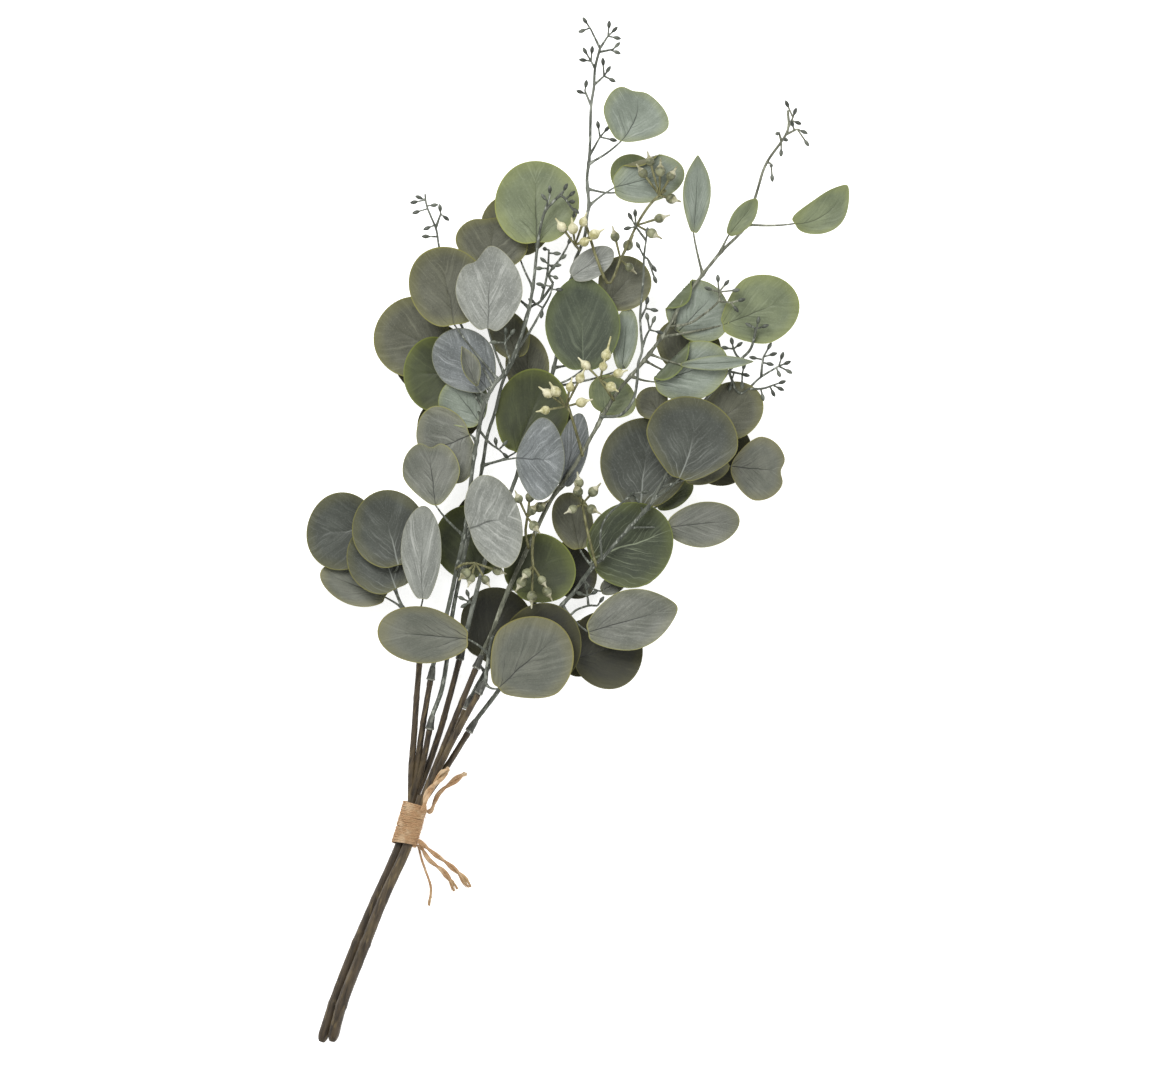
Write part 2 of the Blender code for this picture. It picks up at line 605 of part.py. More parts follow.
long.spray([(156.0, 297.0, 28), (167.4, 300.0, 26), (176.4, 305.4, 25), (185.4, 313.2, 24)],
           [(185.4, 328.2, 22), (196.2, 320.4, 20)])
long.finish()

# Lower front sprig with its broad pale leaves
low = start_sprig("sprig_low_front", BRANCH_6, LEAF_PALE,
                  [(46.6, 92.0, 28.0), (48.0, 102.0, 29.0), (50.0, 112.0, 29.5)])
low.blade((37.2, 111.0), (-19.2, 115.8), 34, (31, 31), join=(48, 102))
low.blade((51.6, 79.8), (90.6, 116.4), 51, (32, 35), join=(45, 86))
low.blade((55.0, 110.4), (103.8, 104.4), 50, (26, 26), join=(50, 112))
low.finish()

# Inner sprig, behind
inner = start_sprig("sprig_inner", BRANCH_7, LEAF_GREEN,
                    [(48.6, 95.4, 9.5), (66.0, 118.0, 9.0), (80.0, 140.0, 9.0),
                     (90.0, 158.0, 10.0)])
inner.blade((41.0, 98.0), (62.8, 139.4), 44, (7.0, 6.2), join=(45, 90))
inner.blade((88.0, 104.0), (118.0, 96.0), 42, (6, 5), join=(60, 111))
inner.resting_blade((57.0, 101.4), (89.0, 112.0), 42, join=(50, 98))
inner.blade((84.0, 144.0), (110.0, 160.0), 36, (7, 6), join=(82, 143))
inner.finish()

# Right sprig
right = start_sprig("sprig_right", BRANCH_8, LEAF_GREY,
                    [(52.2, 78.0, 16.0), (87.6, 126.0, 19.0), (99.0, 139.2, 22.0),
                     (109.2, 153.0, 25.0), (117.6, 161.4, 26.5), (130.8, 176.4, 28.0),
                     (143.4, 190.2, 28.5), (149.4, 200.4, 28.5), (154.2, 209.4, 28.0),
                     (165.0, 238.0, 25.0), (178.2, 255.0, 24.0), (186.6, 264.6, 23.0),
                     (192.0, 271.8, 22.5), (199.2, 279.0, 21.5), (204.6, 284.4, 20.5),
                     (207.0, 291.6, 19.5), (208.2, 298.0, 17.0)])
right.blade((102.6, 163.8), (94.2, 199.2), 24, (17, 16), join=(110, 154))
right.blade((107.5, 158.5), (157.2, 176.4), 52, (21.6, 21.6), join=(110, 154))
right.blade((138.6, 189.0), (144.6, 244.2), 54, (20, 19), join=(140, 187))
right.blade((147.6, 189.6), (170.4, 204.6), 14, (15, 15), join=(142, 188), cup=1.0)
right.blade((161.4, 205.2), (172.8, 256.2), 54, (35, 34), join=(147, 196), cup=3.0)
right.blade((165.0, 206.4), (192.0, 214.8), 13, (29, 29), join=(150, 201), cup=1.0)
right.blade((178.2, 236.4), (209.4, 259.2), 35, (20, 19), join=(165, 238))
right.blade((151.8, 244.8), (139.8, 260.4), 20, (25, 24), join=(165, 238), cup=1.0)
right.blade((192.6, 214.8), (226.8, 211.2), 38, (23, 21), join=(154, 209), notch=0.02)
right.blade((154.2, 178.2), (198.6, 181.8), 28, (19, 18), join=(133, 178), roll=15)
right.blade((105.6, 114.6), (160.2, 130.2), 37, (27, 28), join=(92, 131))
right.blade((96.6, 98.4), (139.8, 110.4), 47, (17, 16), join=(80, 117))
right.blade((114.6, 139.2), (130.2, 147.6), 11, (15, 15), join=(104, 146), cup=0.6)
right.blade((120.0, 156.0), (150.0, 168.0), 40, (9, 8), join=(116, 160))
right.resting_blade((170.0, 212.4), (203.0, 234.0), 42, join=(157, 216))
right.spray([(192.0, 271.8, 22.5), (198.6, 258.5, 20), (211.2, 268.2, 20), (222.0, 274.8, 21)],
            [(224.4, 281.4, 22), (228.0, 271.8, 22), (223.8, 264.6, 21), (212.4, 256.2, 20)])
right.spray([(186.6, 264.6, 23), (177.0, 267.0, 22)], [(175.2, 267.0, 21)])
right.spray([(199.2, 279.0, 21.5), (196.8, 286.0, 19)],
            [(195.0, 289.8, 18), (189.0, 285.6, 19)])
right.spray([(192.0, 271.8, 22.5), (200.0, 270.0, 23)],
            [(202.2, 269.4, 24), (199.8, 263.4, 24)])
right.finish()

# Dark seed spray on the long right sprig
dark = Sprig("seed_spray_dark", SEED_DARK)
dark.twig(perch(long, 117.6, 243.0) +
          [(127.2, 245.4, 34.0), (134.4, 254.4, 35.5), (136.8, 265.8, 36.0),
           (137.4, 276.0, 36.0), (139.8, 284.4, 36.0), (138.6, 303.6, 34.5),
           (140.4, 325.2, 33.0), (141.0, 340.8, 32.0), (142.2, 349.8, 32.0)],
          start=1.0, end=0.6, step=15.0)
dark.spray([(142.2, 349.8, 32), (136.0, 358.0, 33)],
           [(132.6, 364.2, 34), (135.6, 366.0, 34), (131.0, 357.0, 34)])
dark.spray([(141.0, 340.8, 32), (143.0, 339.0, 33)],
           [(137.4, 346.8, 33), (147.0, 333.0, 33), (147.6, 326.4, 33)])
dark.finish()

# Seed spray that crosses the pale right leaf
arc = Sprig("seed_spray_arc", SEED_DARK)
arc.twig(perch(right, 116.0, 160.0) +
         [(115.0, 176.0, 33.0), (120.0, 186.0, 33.0), (129.6, 194.4, 33.0)],
         start=0.8, end=0.6, step=9.0)
arc.spray([(129.6, 194.4, 33), (133.8, 198.0, 33)],
          [(133.8, 198.0, 36), (141.6, 199.2, 34), (136.8, 194.4, 35)])
arc.finish()

# Gum nut sprays
nuts_a = Sprig("gum_nuts_cream_top", NUT_CREAM)
nuts_a.twig(perch(top, 102.0, 343.8) + [(99.6, 347.0, 33.0)], start=0.9, end=0.8, step=7.0)
nuts_a.nuts((99.6, 347.0, 33.0), [(91.8, 357.6, 37), (98.4, 356.4, 38), (104.5, 360.6, 35),
                                  (105.0, 348.6, 38), (111.0, 353.2, 36)])
nuts_a.finish()

nuts_b = Sprig("gum_nuts_olive_top", NUT_OLIVE)
nuts_b.twig(perch(top, 106.8, 360.0) +
            [(108.5, 352.0, 29.5), (113.0, 338.0, 31.5), (120.0, 324.0, 30.5),
             (127.2, 339.0, 30.5), (136.8, 359.4, 31.0), (144.6, 371.4, 32.0),
             (154.0, 380.0, 33.0)],
            start=0.9, end=0.8, step=7.0)
nuts_b.nuts((150.0, 376.5, 32.0), [(140.4, 390.0, 33), (150.6, 391.2, 34), (144.6, 397.0, 33),
                                   (157.0, 388.0, 36), (157.0, 374.5, 37)])
nuts_b.nuts((136.8, 359.4, 31.0), [(150.0, 363.0, 33), (145.5, 354.0, 34)])
nuts_b.nuts((127.2, 339.0, 30.5), [(123.6, 352.0, 33), (131.4, 347.0, 28), (132.0, 334.0, 29)])
nuts_b.finish()

nuts_c = Sprig("gum_nuts_cream_middle", NUT_CREAM)
nuts_c.twig(perch(long, 104.0, 223.0) + [(97.0, 246.0, 37.5), (94.2, 250.2, 38.0)],
            start=0.9, end=0.8, step=7.0)
nuts_c.nuts((94.2, 250.2, 38.0), [(83.4, 258.0, 40), (88.2, 259.0, 42), (96.6, 261.6, 41),
                                  (102.6, 267.0, 40), (103.2, 252.6, 40), (82.0, 248.0, 43)])
nuts_c.finish()

nuts_d = Sprig("gum_nuts_olive_middle", NUT_OLIVE)
nuts_d.twig(perch(long, 122.0, 254.0) + [(114.6, 266.4, 35.0)], start=0.9, end=0.8, step=7.0)
nuts_d.nuts((114.6, 266.4, 35.0), [(106.2, 274.8, 36), (118.2, 280.8, 37), (116.4, 274.0, 41),
                                   (125.4, 270.0, 41), (121.0, 262.0, 42)],
            spikes=[4.5, 9.0, 4.5, 4.5, 4.5, 4.5])
nuts_d.finish()

nuts_e = Sprig("gum_nuts_olive_low", NUT_OLIVE)
nuts_e.twig(perch(long, 75.0, 173.0) + [(74.0, 164.0, 33.0), (74.4, 155.0, 34.0)],
            start=0.9, end=0.8, step=7.0)
nuts_e.nuts((74.4, 155.0, 34.0), [(70.8, 150.6, 37), (67.8, 145.2, 34), (79.8, 146.4, 35),
                                  (82.8, 139.8, 34), (73.8, 136.8, 34)])
nuts_e.finish()

nuts_f = Sprig("gum_nuts_olive_left", NUT_OLIVE)
nuts_f.twig(perch(long, 71.0, 166.0) + [(70.0, 175.0, 34.0), (71.0, 184.0, 35.0)],
            start=0.9, end=0.8, step=7.0)
nuts_f.nuts((71.0, 184.0, 35.0), [(73.8, 188.0, 38), (75.0, 179.0, 39), (66.0, 195.0, 41),
                                  (72.6, 196.0, 37), (78.5, 190.0, 36)])
nuts_f.finish()

nuts_g = Sprig("gum_nuts_olive_shade", NUT_OLIVE)
nuts_g.twig(perch(tall, 28.8, 154.2) + [(33.0, 156.0, 31.0), (40.0, 156.5, 31.5)],
            start=0.9, end=0.8, step=7.0)
nuts_g.nuts((40.0, 156.5, 31.5), [(37.2, 147.6, 32), (34.2, 150.6, 34), (46.0, 146.6, 32),
                                  (53.0, 152.0, 31)], spikes=[3.5] * 4)
nuts_g.finish()

nuts_h = Sprig("gum_nuts_olive_right", NUT_OLIVE)
nuts_h.twig(perch(right, 112.0, 157.0) + [(107.0, 176.0, 30.0), (104.0, 192.0, 30.5)],
            start=0.9, end=0.8, step=7.0)
nuts_h.nuts((104.0, 192.0, 30.5), [(102.0, 204.6, 33), (101.4, 199.2, 35), (98.4, 189.0, 32),
                                   (109.5, 189.0, 33), (110.4, 199.2, 33)])
nuts_h.finish()

# Free ends of the twine
make_tail("twine_tail_1", 7, -75, [(7.0, -22.0, 7.0), (9.6, -29.4, 5.0), (12.6, -39.0, 3.0),
                                   (11.4, -50.4, 1.2)], 0.8)
make_tail("twine_tail_2", 7, -45, [(12.0, -22.4, 11.5), (19.8, -29.0, 8.0), (24.6, -35.4, 4.5),
                                   (27.6, -40.8, 2.0)], TAIL_R)
make_tail("twine_tail_3", 6, -10, [(14.0, -17.6, 15.5), (23.4, -25.0, 10.0), (30.6, -31.8, 5.0),
                                   (36.0, -39.0, 2.0)], TAIL_R)
make_tail("twine_tail_4", 0, 20, [(11.0, 18.0, 21.5), (18.6, 27.6, 23.0), (23.4, 33.6, 25.0)], 1.3)
make_tail("twine_tail_5", 0, -60, [(17.4, 17.4, 9.2), (25.8, 24.4, 7.0), (33.6, 29.8, 4.0)], TAIL_R)
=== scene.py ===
"""A tied bunch of eucalyptus sprigs: leaves with veins, seeds, gum nuts, bark and jute twine.

Positions are millimetres on a flat sheet, as in the part: x to the right and y up the
sheet from the middle of the twine binding, z up from the surface that the bunch lies
on. spot() turns the sheet so that the bunch's own length runs along +Y.
"""
import math

import bmesh
import bpy
from mathutils import Matrix, Vector, noise


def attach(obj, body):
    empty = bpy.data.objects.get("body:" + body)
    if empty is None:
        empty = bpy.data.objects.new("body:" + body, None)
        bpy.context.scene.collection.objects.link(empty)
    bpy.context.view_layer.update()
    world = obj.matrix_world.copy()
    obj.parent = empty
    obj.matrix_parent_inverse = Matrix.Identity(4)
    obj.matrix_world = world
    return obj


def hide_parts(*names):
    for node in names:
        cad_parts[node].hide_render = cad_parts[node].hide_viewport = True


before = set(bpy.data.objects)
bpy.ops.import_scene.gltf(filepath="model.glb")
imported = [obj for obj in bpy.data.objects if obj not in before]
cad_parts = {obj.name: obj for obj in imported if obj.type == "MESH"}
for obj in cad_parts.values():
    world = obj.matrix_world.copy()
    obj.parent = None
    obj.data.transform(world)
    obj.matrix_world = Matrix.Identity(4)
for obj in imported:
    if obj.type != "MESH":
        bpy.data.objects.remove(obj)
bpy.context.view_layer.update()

# Sizes in millimetres
LEAN = math.radians(15.0)
SHIFT_X = 29.19
SHIFT_Y = 177.67
MM = 0.001

BLADE = 0.62
PETIOLE_R = 0.85
TWIG_R = 1.45
TWIG_TIP_R = 0.8
SHOOT_R = 0.7
SLEEVE_R = 2.45
SLEEVE_LENGTH = 9.0
SEED_R = 1.45
SEED_LONG = 2.4
SEED_SLIM = 0.86
NUT_R = 3.1
SPIKE = 4.5

STEM_R = 3.3
BRANCH_R = 2.05
BRANCH_TIP_R = 1.7
# Old leaf rings on the stems: how far up the sheet each is, and how far it swells
STEM_RINGS = ((-110.0, 0.36), (-73.0, 0.36), (-47.0, 0.18))

TURNS = 8
WRAP_CENTRE = (0.0, -1.0, 9.3)
WRAP_AXIS = (7.4, 25.4, 0.0)
WRAP_TILT = 47.0
WRAP_LENGTH = 26.0
WRAP_HOLE_LONG = 7.35
WRAP_HOLE_SHORT = 4.5
WRAP_TWINE = 2.1
STRAND_R = 0.64
TURN_STEPS = 60
STRAYS = 150
GAP = 0.35
TAIL_R = 1.0
TWIST_LENGTH = 26.0
FIBRES = 12
SHARP = 48.0

# Camera: straight above the bunch, its width of view at the height of the leaves
VIEW_WIDTH = 0.690
VIEW_CENTRE = (99.6, 174.9, 25.0)
LENS = 200.0
SENSOR = 36.0


def spot(x, y, z=0.0):
    """A place on the sheet, in metres in the bunch's own frame."""
    turned_x = x * math.cos(LEAN) - y * math.sin(LEAN) - SHIFT_X
    turned_y = x * math.sin(LEAN) + y * math.cos(LEAN) - SHIFT_Y
    return Vector((turned_x, turned_y, z)) * MM


def smooth_route(points, step):
    """Points about a step apart, in mm, on a smooth curve through the given ones."""
    knots = [Vector(p) for p in points]
    knots = [knots[0] * 2 - knots[1]] + knots + [knots[-1] * 2 - knots[-2]]
    fine = []
    for i in range(1, len(knots) - 2):
        a, b, c, d = knots[i - 1], knots[i], knots[i + 1], knots[i + 2]
        for k in range(12):
            t = k / 12
            bend = 2 * b + (c - a) * t
            bend += (2 * a - 5 * b + 4 * c - d) * t * t
            bend += (3 * b - a - 3 * c + d) * t ** 3
            fine.append(bend * 0.5)
    fine.append(knots[-2])
    total = sum((q - p).length for p, q in zip(fine, fine[1:]))
    pieces = max(2, round(total / step))
    route = [fine[0]]
    walked = 0.0
    for p, q in zip(fine, fine[1:]):
        length = (q - p).length
        while len(route) < pieces and walked + length >= total * len(route) / pieces:
            route.append(p.lerp(q, (total * len(route) / pieces - walked) / length))
        walked += length
    route.append(fine[-1])
    return route


def route_length(route):
    return sum((q - p).length for p, q in zip(route, route[1:]))


def taper(route, start, end):
    count = len(route) - 1
    return [start + (end - start) * i / count for i in range(count + 1)]


def nearest(route, x, y):
    return min(route, key=lambda p: (p.x - x) ** 2 + (p.y - y) ** 2)


def ease(low, high, value):
    """0 below low, 1 above high, and smooth between them."""
    t = max(0.0, min(1.0, (value - low) / (high - low)))
    return t * t * (3 - 2 * t)


# Camera
def place_camera():
    middle = spot(*VIEW_CENTRE)
    lens = bpy.data.cameras.new("camera")
    lens.lens = LENS
    lens.sensor_width = SENSOR
    lens.clip_end = 60.0
    eye = bpy.data.objects.new("camera", lens)
    bpy.context.scene.collection.objects.link(eye)
    eye.location = middle + Vector((0.0, 0.0, VIEW_WIDTH * LENS / SENSOR))
    eye.rotation_euler = (0.0, 0.0, LEAN)
    bpy.context.scene.camera = eye


place_camera()


# Wiring of materials
class Wires:
    """A material and short ways to wire its nodes."""

    def __init__(self, name):
        self.material = bpy.data.materials.new(name)
        self.material.use_nodes = True
        self.tree = self.material.node_tree
        self.shader = self.tree.nodes["Principled BSDF"]

    def feed(self, socket, value):
        if isinstance(value, bpy.types.NodeSocket):
            self.tree.links.new(value, socket)
        elif isinstance(value, tuple) and len(value) == 3 and socket.type == "RGBA":
            socket.default_value = (*value, 1.0)
        else:
            socket.default_value = value

    def node(self, kind, *values):
        """A node of a kind, its first sockets fed in order."""
        made = self.tree.nodes.new("ShaderNode" + kind)
        for socket, value in zip(made.inputs, values):
            self.feed(socket, value)
        return made

    def math(self, operation, *values):
        made = self.node("Math", *values)
        made.operation = operation
        return made.outputs[0]

    def times(self, first, second):
        return self.math("MULTIPLY", first, second)

    def plus(self, first, second):
        return self.math("ADD", first, second)

    def less(self, first, second):
        return self.math("SUBTRACT", first, second)

    def line(self, value, slope, start):
        return self.math("MULTIPLY_ADD", value, slope, start)

    def reach(self, x, y):
        """How far a place is from the middle."""
        return self.math("SQRT", self.plus(self.times(x, x), self.times(y, y)))

    def tooth(self, value):
        """How far a value is from the middle of its own unit step."""
        return self.math("ABSOLUTE", self.less(self.math("FRACT", value), 0.5))

    def step(self, value, low, high, out_low=0.0, out_high=1.0):
        made = self.node("MapRange", value, low, high, out_low, out_high)
        made.interpolation_type = "SMOOTHSTEP"
        return made.outputs[0]

    def mix(self, share, first, second):
        made = self.node("Mix", share)
        made.data_type = "RGBA"
        self.feed(made.inputs[6], first)
        self.feed(made.inputs[7], second)
        return made.outputs[2]

    def vector(self, x, y, z):
        return self.node("CombineXYZ", x, y, z).outputs[0]

    def split(self, vector):
        return self.node("SeparateXYZ", vector).outputs

    def speckle(self, vector, scale, detail=2.0, rough=0.5):
        made = self.node("TexNoise", vector)
        made.inputs["Scale"].default_value = scale
        made.inputs["Detail"].default_value = detail
        made.inputs["Roughness"].default_value = rough
        return made.outputs["Fac"]

    def skin(self):
        """The piece's own coordinates: across, along, and a number that differs by piece."""
        made = self.node("Attribute")
        made.attribute_name = "skin"
        return made.outputs["Vector"]

    def place(self, scale):
        """Object coordinates, stretched by a scale for each axis."""
        made = self.node("Mapping", self.node("TexCoord").outputs["Object"])
        made.inputs["Scale"].default_value = scale
        return made.outputs["Vector"]

    def finish(self, colour, roughness, height, depth, strength):
        self.feed(self.shader.inputs["Base Color"], colour)
        self.feed(self.shader.inputs["Roughness"], roughness)
        bump = self.node("Bump")
        bump.inputs["Distance"].default_value = depth
        bump.inputs["Strength"].default_value = strength
        self.tree.links.new(height, bump.inputs["Height"])
        self.tree.links.new(bump.outputs["Normal"], self.shader.inputs["Normal"])
        return self.material


def rgb(code):
    """A colour as the shader wants it, from its usual six-digit code."""
    parts = [int(code[i:i + 2], 16) / 255 for i in (0, 2, 4)]
    return tuple(p / 12.92 if p < 0.04045 else ((p + 0.055) / 1.055) ** 2.4 for p in parts)


def tints(codes):
    return [rgb(code) for code in codes.split()]


def leaf_skin(name, codes, rim_width, streaks, veins, olive, spread):
    """Powdery leaf: veins that climb from the rib, brushed streaks along them, and a green rim."""
    ground, cloud, streak, vein, rim = tints(codes)
    deep = tuple(0.55 * part for part in ground)
    w = Wires("leaf_" + name)
    across, along, piece = w.split(w.skin())
    own = w.times(piece, 13.7)
    flat = w.vector(across, along, own)
    settle = w.step(along, -1.0, -0.3)
    wander = w.times(w.less(w.speckle(flat, 1.5), 0.5), settle)
    drift = w.less(w.speckle(w.vector(along, across, own), 2.1), 0.5)
    x = w.line(wander, 0.13, across)
    y = w.line(drift, 0.26, along)
    off = w.math("ABSOLUTE", x)
    # Side veins: each place looks up the height at which its vein leaves the rib
    height = w.less(y, w.times(w.math("POWER", off, 0.84), w.line(along, 0.35, 1.3)))
    comb = w.plus(w.line(height, 1.9, own), w.times(w.math("SIGN", x), 0.21))
    from_base = w.reach(across, w.plus(along, 1.0))
    fade = w.times(w.step(off, 0.85, 0.08), w.step(from_base, spread, 0.3))
    broken = w.step(w.speckle(flat, 3.1), 0.36, 0.60)
    side_line = w.times(w.step(w.tooth(comb), 0.042, 0.008),
                        w.times(fade, w.line(broken, 0.65, 0.35)))
    # Fine net: three times as many veins, which wander more
    fine_comb = w.line(wander, 2.2, w.times(comb, 3.0))
    fine_line = w.times(w.step(w.tooth(fine_comb), 0.12, 0.02),
                        w.times(broken, w.step(from_base, spread + 0.4, 0.6, 0.0, 0.32)))
    rib_width = w.line(along, -0.009, 0.017)
    rib = w.times(w.step(w.math("DIVIDE", off, rib_width), 1.3, 0.4),
                  w.step(from_base, spread, spread * 0.45))
    lines = w.math("MAXIMUM", w.math("MAXIMUM", rib, side_line), fine_line)
    # Brushed streaks that follow the side veins, and a powdery frost
    brushed = w.speckle(w.vector(w.times(height, 3.4), w.times(off, 0.7), own), 2.4, 5.0, 0.66)
    frost = w.speckle(flat, 24.0, 3.0, 0.65)
    patch = w.speckle(flat, 1.2, 3.0, 0.6)
    colour = w.mix(w.step(patch, 0.34, 0.66), ground, cloud)
    for mark, low, high, amount, tint in ((brushed, 0.47, 0.31, 0.55, deep),
                                          (brushed, 0.50, 0.76, 1.0, streak),
                                          (frost, 0.52, 0.72, 0.5, streak),
                                          (frost, 0.46, 0.30, 0.5, deep)):
        colour = w.mix(w.times(w.step(mark, low, high), streaks * amount), colour, tint)
    reach = w.reach(across, along)
    near_rim = w.line(patch, 0.35, reach)
    colour = w.mix(w.times(w.step(near_rim, 0.82, 1.18), olive), colour, rim)
    colour = w.mix(w.times(lines, veins), colour, vein)
    edge = w.line(drift, 0.03, reach)
    colour = w.mix(w.step(edge, 1.0 - rim_width, 1.0 - rim_width * 0.3), colour, rim)
    relief = w.line(lines, -0.6, w.line(brushed, 0.5, w.times(frost, 0.2)))
    return w.finish(colour, w.step(brushed, 0.3, 0.8, 0.64, 0.5), relief, 0.0004, 0.5)


def bark_skin(name, codes, painted_highlight, scale=(900.0, 130.0, 900.0), depth=0.0003):
    """Bark with streaks along the bunch's length, pale blotches, and pale streaks along it that are
    painted highlights.
    """
    ground, dark, pale = tints(codes)
    w = Wires(name)
    grain = w.speckle(w.place(scale), 1.0, 4.0, 0.6)
    blotch = w.speckle(w.place((60.0, 40.0, 60.0)), 1.0, 3.0, 0.6)
    highlight_streak = w.speckle(w.place((scale[0] * 0.7, scale[1] * 1.6, scale[2] * 0.7)), 1.0, 2.0, 0.5)
    colour = w.mix(w.step(grain, 0.30, 0.64), dark, ground)
    colour = w.mix(w.times(w.step(blotch, 0.48, 0.72), 0.45), colour, pale)
    # Painted highlight: pale streaks along the length stand for light glinting along the twig
    colour = w.mix(w.times(w.step(highlight_streak, 0.56, 0.68), painted_highlight), colour, pale)
    return w.finish(colour, w.step(grain, 0.3, 0.7, 0.7, 0.5), grain, depth, 0.7)


def nut_skin(name, codes):
    """Waxy skin of a nut or seed with a faint mottle."""
    ground, dark, pale = tints(codes)
    w = Wires(name)
    mottle = w.speckle(w.place((420.0, 420.0, 420.0)), 1.0, 4.0, 0.6)
    cloud = w.speckle(w.place((90.0, 90.0, 90.0)), 1.0)
    colour = w.mix(w.step(mottle, 0.36, 0.66), dark, ground)
    colour = w.mix(w.times(w.step(cloud, 0.42, 0.66), 0.6), colour, pale)
    return w.finish(colour, w.step(mottle, 0.3, 0.7, 0.55, 0.42), mottle, 0.0003, 0.5)


def jute_skin(name, codes):
    """Jute: fine fibres that run along each strand."""
    ground, dark, pale = tints(codes)
    w = Wires(name)
    along, around, piece = w.split(w.skin())
    fibre = w.speckle(w.vector(w.times(along, 0.22), w.times(around, 2.4), piece), 2.2, 4.0, 0.7)
    cloud = w.speckle(w.place((140.0, 140.0, 140.0)), 1.0, 3.0)
    colour = w.mix(w.step(fibre, 0.32, 0.62), dark, ground)
    colour = w.mix(w.step(fibre, 0.58, 0.78), colour, pale)
    colour = w.mix(w.times(w.step(cloud, 0.45, 0.7), 0.45), colour, pale)
    return w.finish(colour, 0.9, fibre, 0.0005, 0.9)


# Leaf skins: the colours of ground, cloud, streak, vein and rim, then the rim's width, how
# strong streaks, veins and the olive edge are, and how far from the base the veins reach
# Each look's tone is partly the leaf's own colour and partly painted light and shade: how bright
# each leaf looks for its tilt to the light.
LEAF_LOOKS = {
    # Pale undersides, their tones partly painted light
    "grey": ("5e6157 71736a 96988e 292b26 87864f", 0.035, 0.6, 0.85, 0.2, 1.9),
    "grey_olive_rim": ("585b50 686a5e 85877b 262822 7a7540", 0.045, 0.45, 0.9, 0.35, 1.9),
    "mist": ("757871 8a8d86 b7b9b2 3d403a 96967c", 0.02, 0.8, 0.7, 0.1, 1.5),
    "teal": ("6f786b 838c7f acb3a8 333a31 858b4c", 0.035, 0.5, 0.85, 0.35, 1.9),
    "blue": ("5f6463 757a7a abafaf 2a2e2e 75785f", 0.025, 0.7, 0.7, 0.1, 1.6),
    # Dark upper sides, their tones partly painted shade
    "dusk": ("363a32 444840 6b6f68 8d918a 6a6833", 0.035, 0.6, 0.65, 0.3, 1.2),
    "olive": ("484939 5a5b4b 7b7c66 2e2f23 777536", 0.04, 0.55, 0.5, 0.35, 1.5),
    "green": ("30361c 3d4424 59613c 202512 68702a", 0.05, 0.35, 0.45, 0.4, 1.4),
    "forest": ("384030 48503d 6b745e 78826a 646f33", 0.04, 0.5, 0.4, 0.35, 1.3),
    "fan": ("2c3322 384029 5a634a 959e82 636b2e", 0.04, 0.5, 0.7, 0.35, 2.3),
    # Painted shade: the near-black tone of leaves deep in the bunch and at its back, where shadow
    # falls, over their own dark colour
    "shade": ("222318 2b2b1a 3c3d27 161711 565424", 0.035, 0.4, 0.4, 0.3, 1.4),
    "meadow": ("636c50 747d5d 99a183 383f29 858b42", 0.035, 0.45, 0.75, 0.35, 1.7),
}
SKINS = {name: leaf_skin(name, *look) for name, look in LEAF_LOOKS.items()}
# Which skin is on a leaf's upper side and which on its lower side
DUSK = ("dusk", "grey")
OLIVE = ("olive", "grey")
GREEN = ("green", "grey")
FOREST = ("forest", "teal")
FAN = ("fan", "grey")
SHADE = ("shade", "grey")
MEADOW = ("meadow", "teal")
GREY = ("grey", "olive")
RIMMED = ("grey_olive_rim", "olive")
MIST = ("mist", "dusk")
TEAL = ("teal", "forest")
BLUE = ("blue", "dusk")

# Other skins: the colours of ground, dark and pale places; on bark the pale tone is also that of
# painted highlights, and the number after the colours is how strong they are
TWIG_GREY = bark_skin("twig_grey", "5a5e53 363a32 9b9f94", 0.85)
TWIG_PALE = bark_skin("twig_pale", "6d6f5d 414335 a3a592", 0.7)
TWIG_OLIVE = bark_skin("twig_olive", "6a6840 47462c 9b9970", 0.5)
STEM_BARK = bark_skin("stem_bark", "483b28 261e13 756542", 0.5, (700.0, 60.0, 700.0), 0.0006)
SLEEVE_GREY = bark_skin("sleeve_grey", "4c4d45 2a2b26 85867c", 0.6)
SLEEVE_RING = bark_skin("sleeve_ring", "86867a 525248 b9b9ac", 0.7)
SEED_GREEN = nut_skin("seed_green", "4a4f45 2d312a 73786b")
NUT_CREAM = nut_skin("nut_cream", "cbc69c 9c9763 e6e2c9")
NUT_OLIVE = nut_skin("nut_olive", "747657 474a34 a3a583")
NUT_TIP = nut_skin("nut_tip", "aeab8c 777352 dcd9c2")
JUTE = jute_skin("jute", "c8a27a 8f6b45 ead4b0")
JUTE_PALE = jute_skin("jute_pale", "dcc296 b08b5d f2e5c8")


# Making shapes
def new_shape():
    shape = bmesh.new()
    shape.verts.layers.float_vector.new("skin")
    return shape


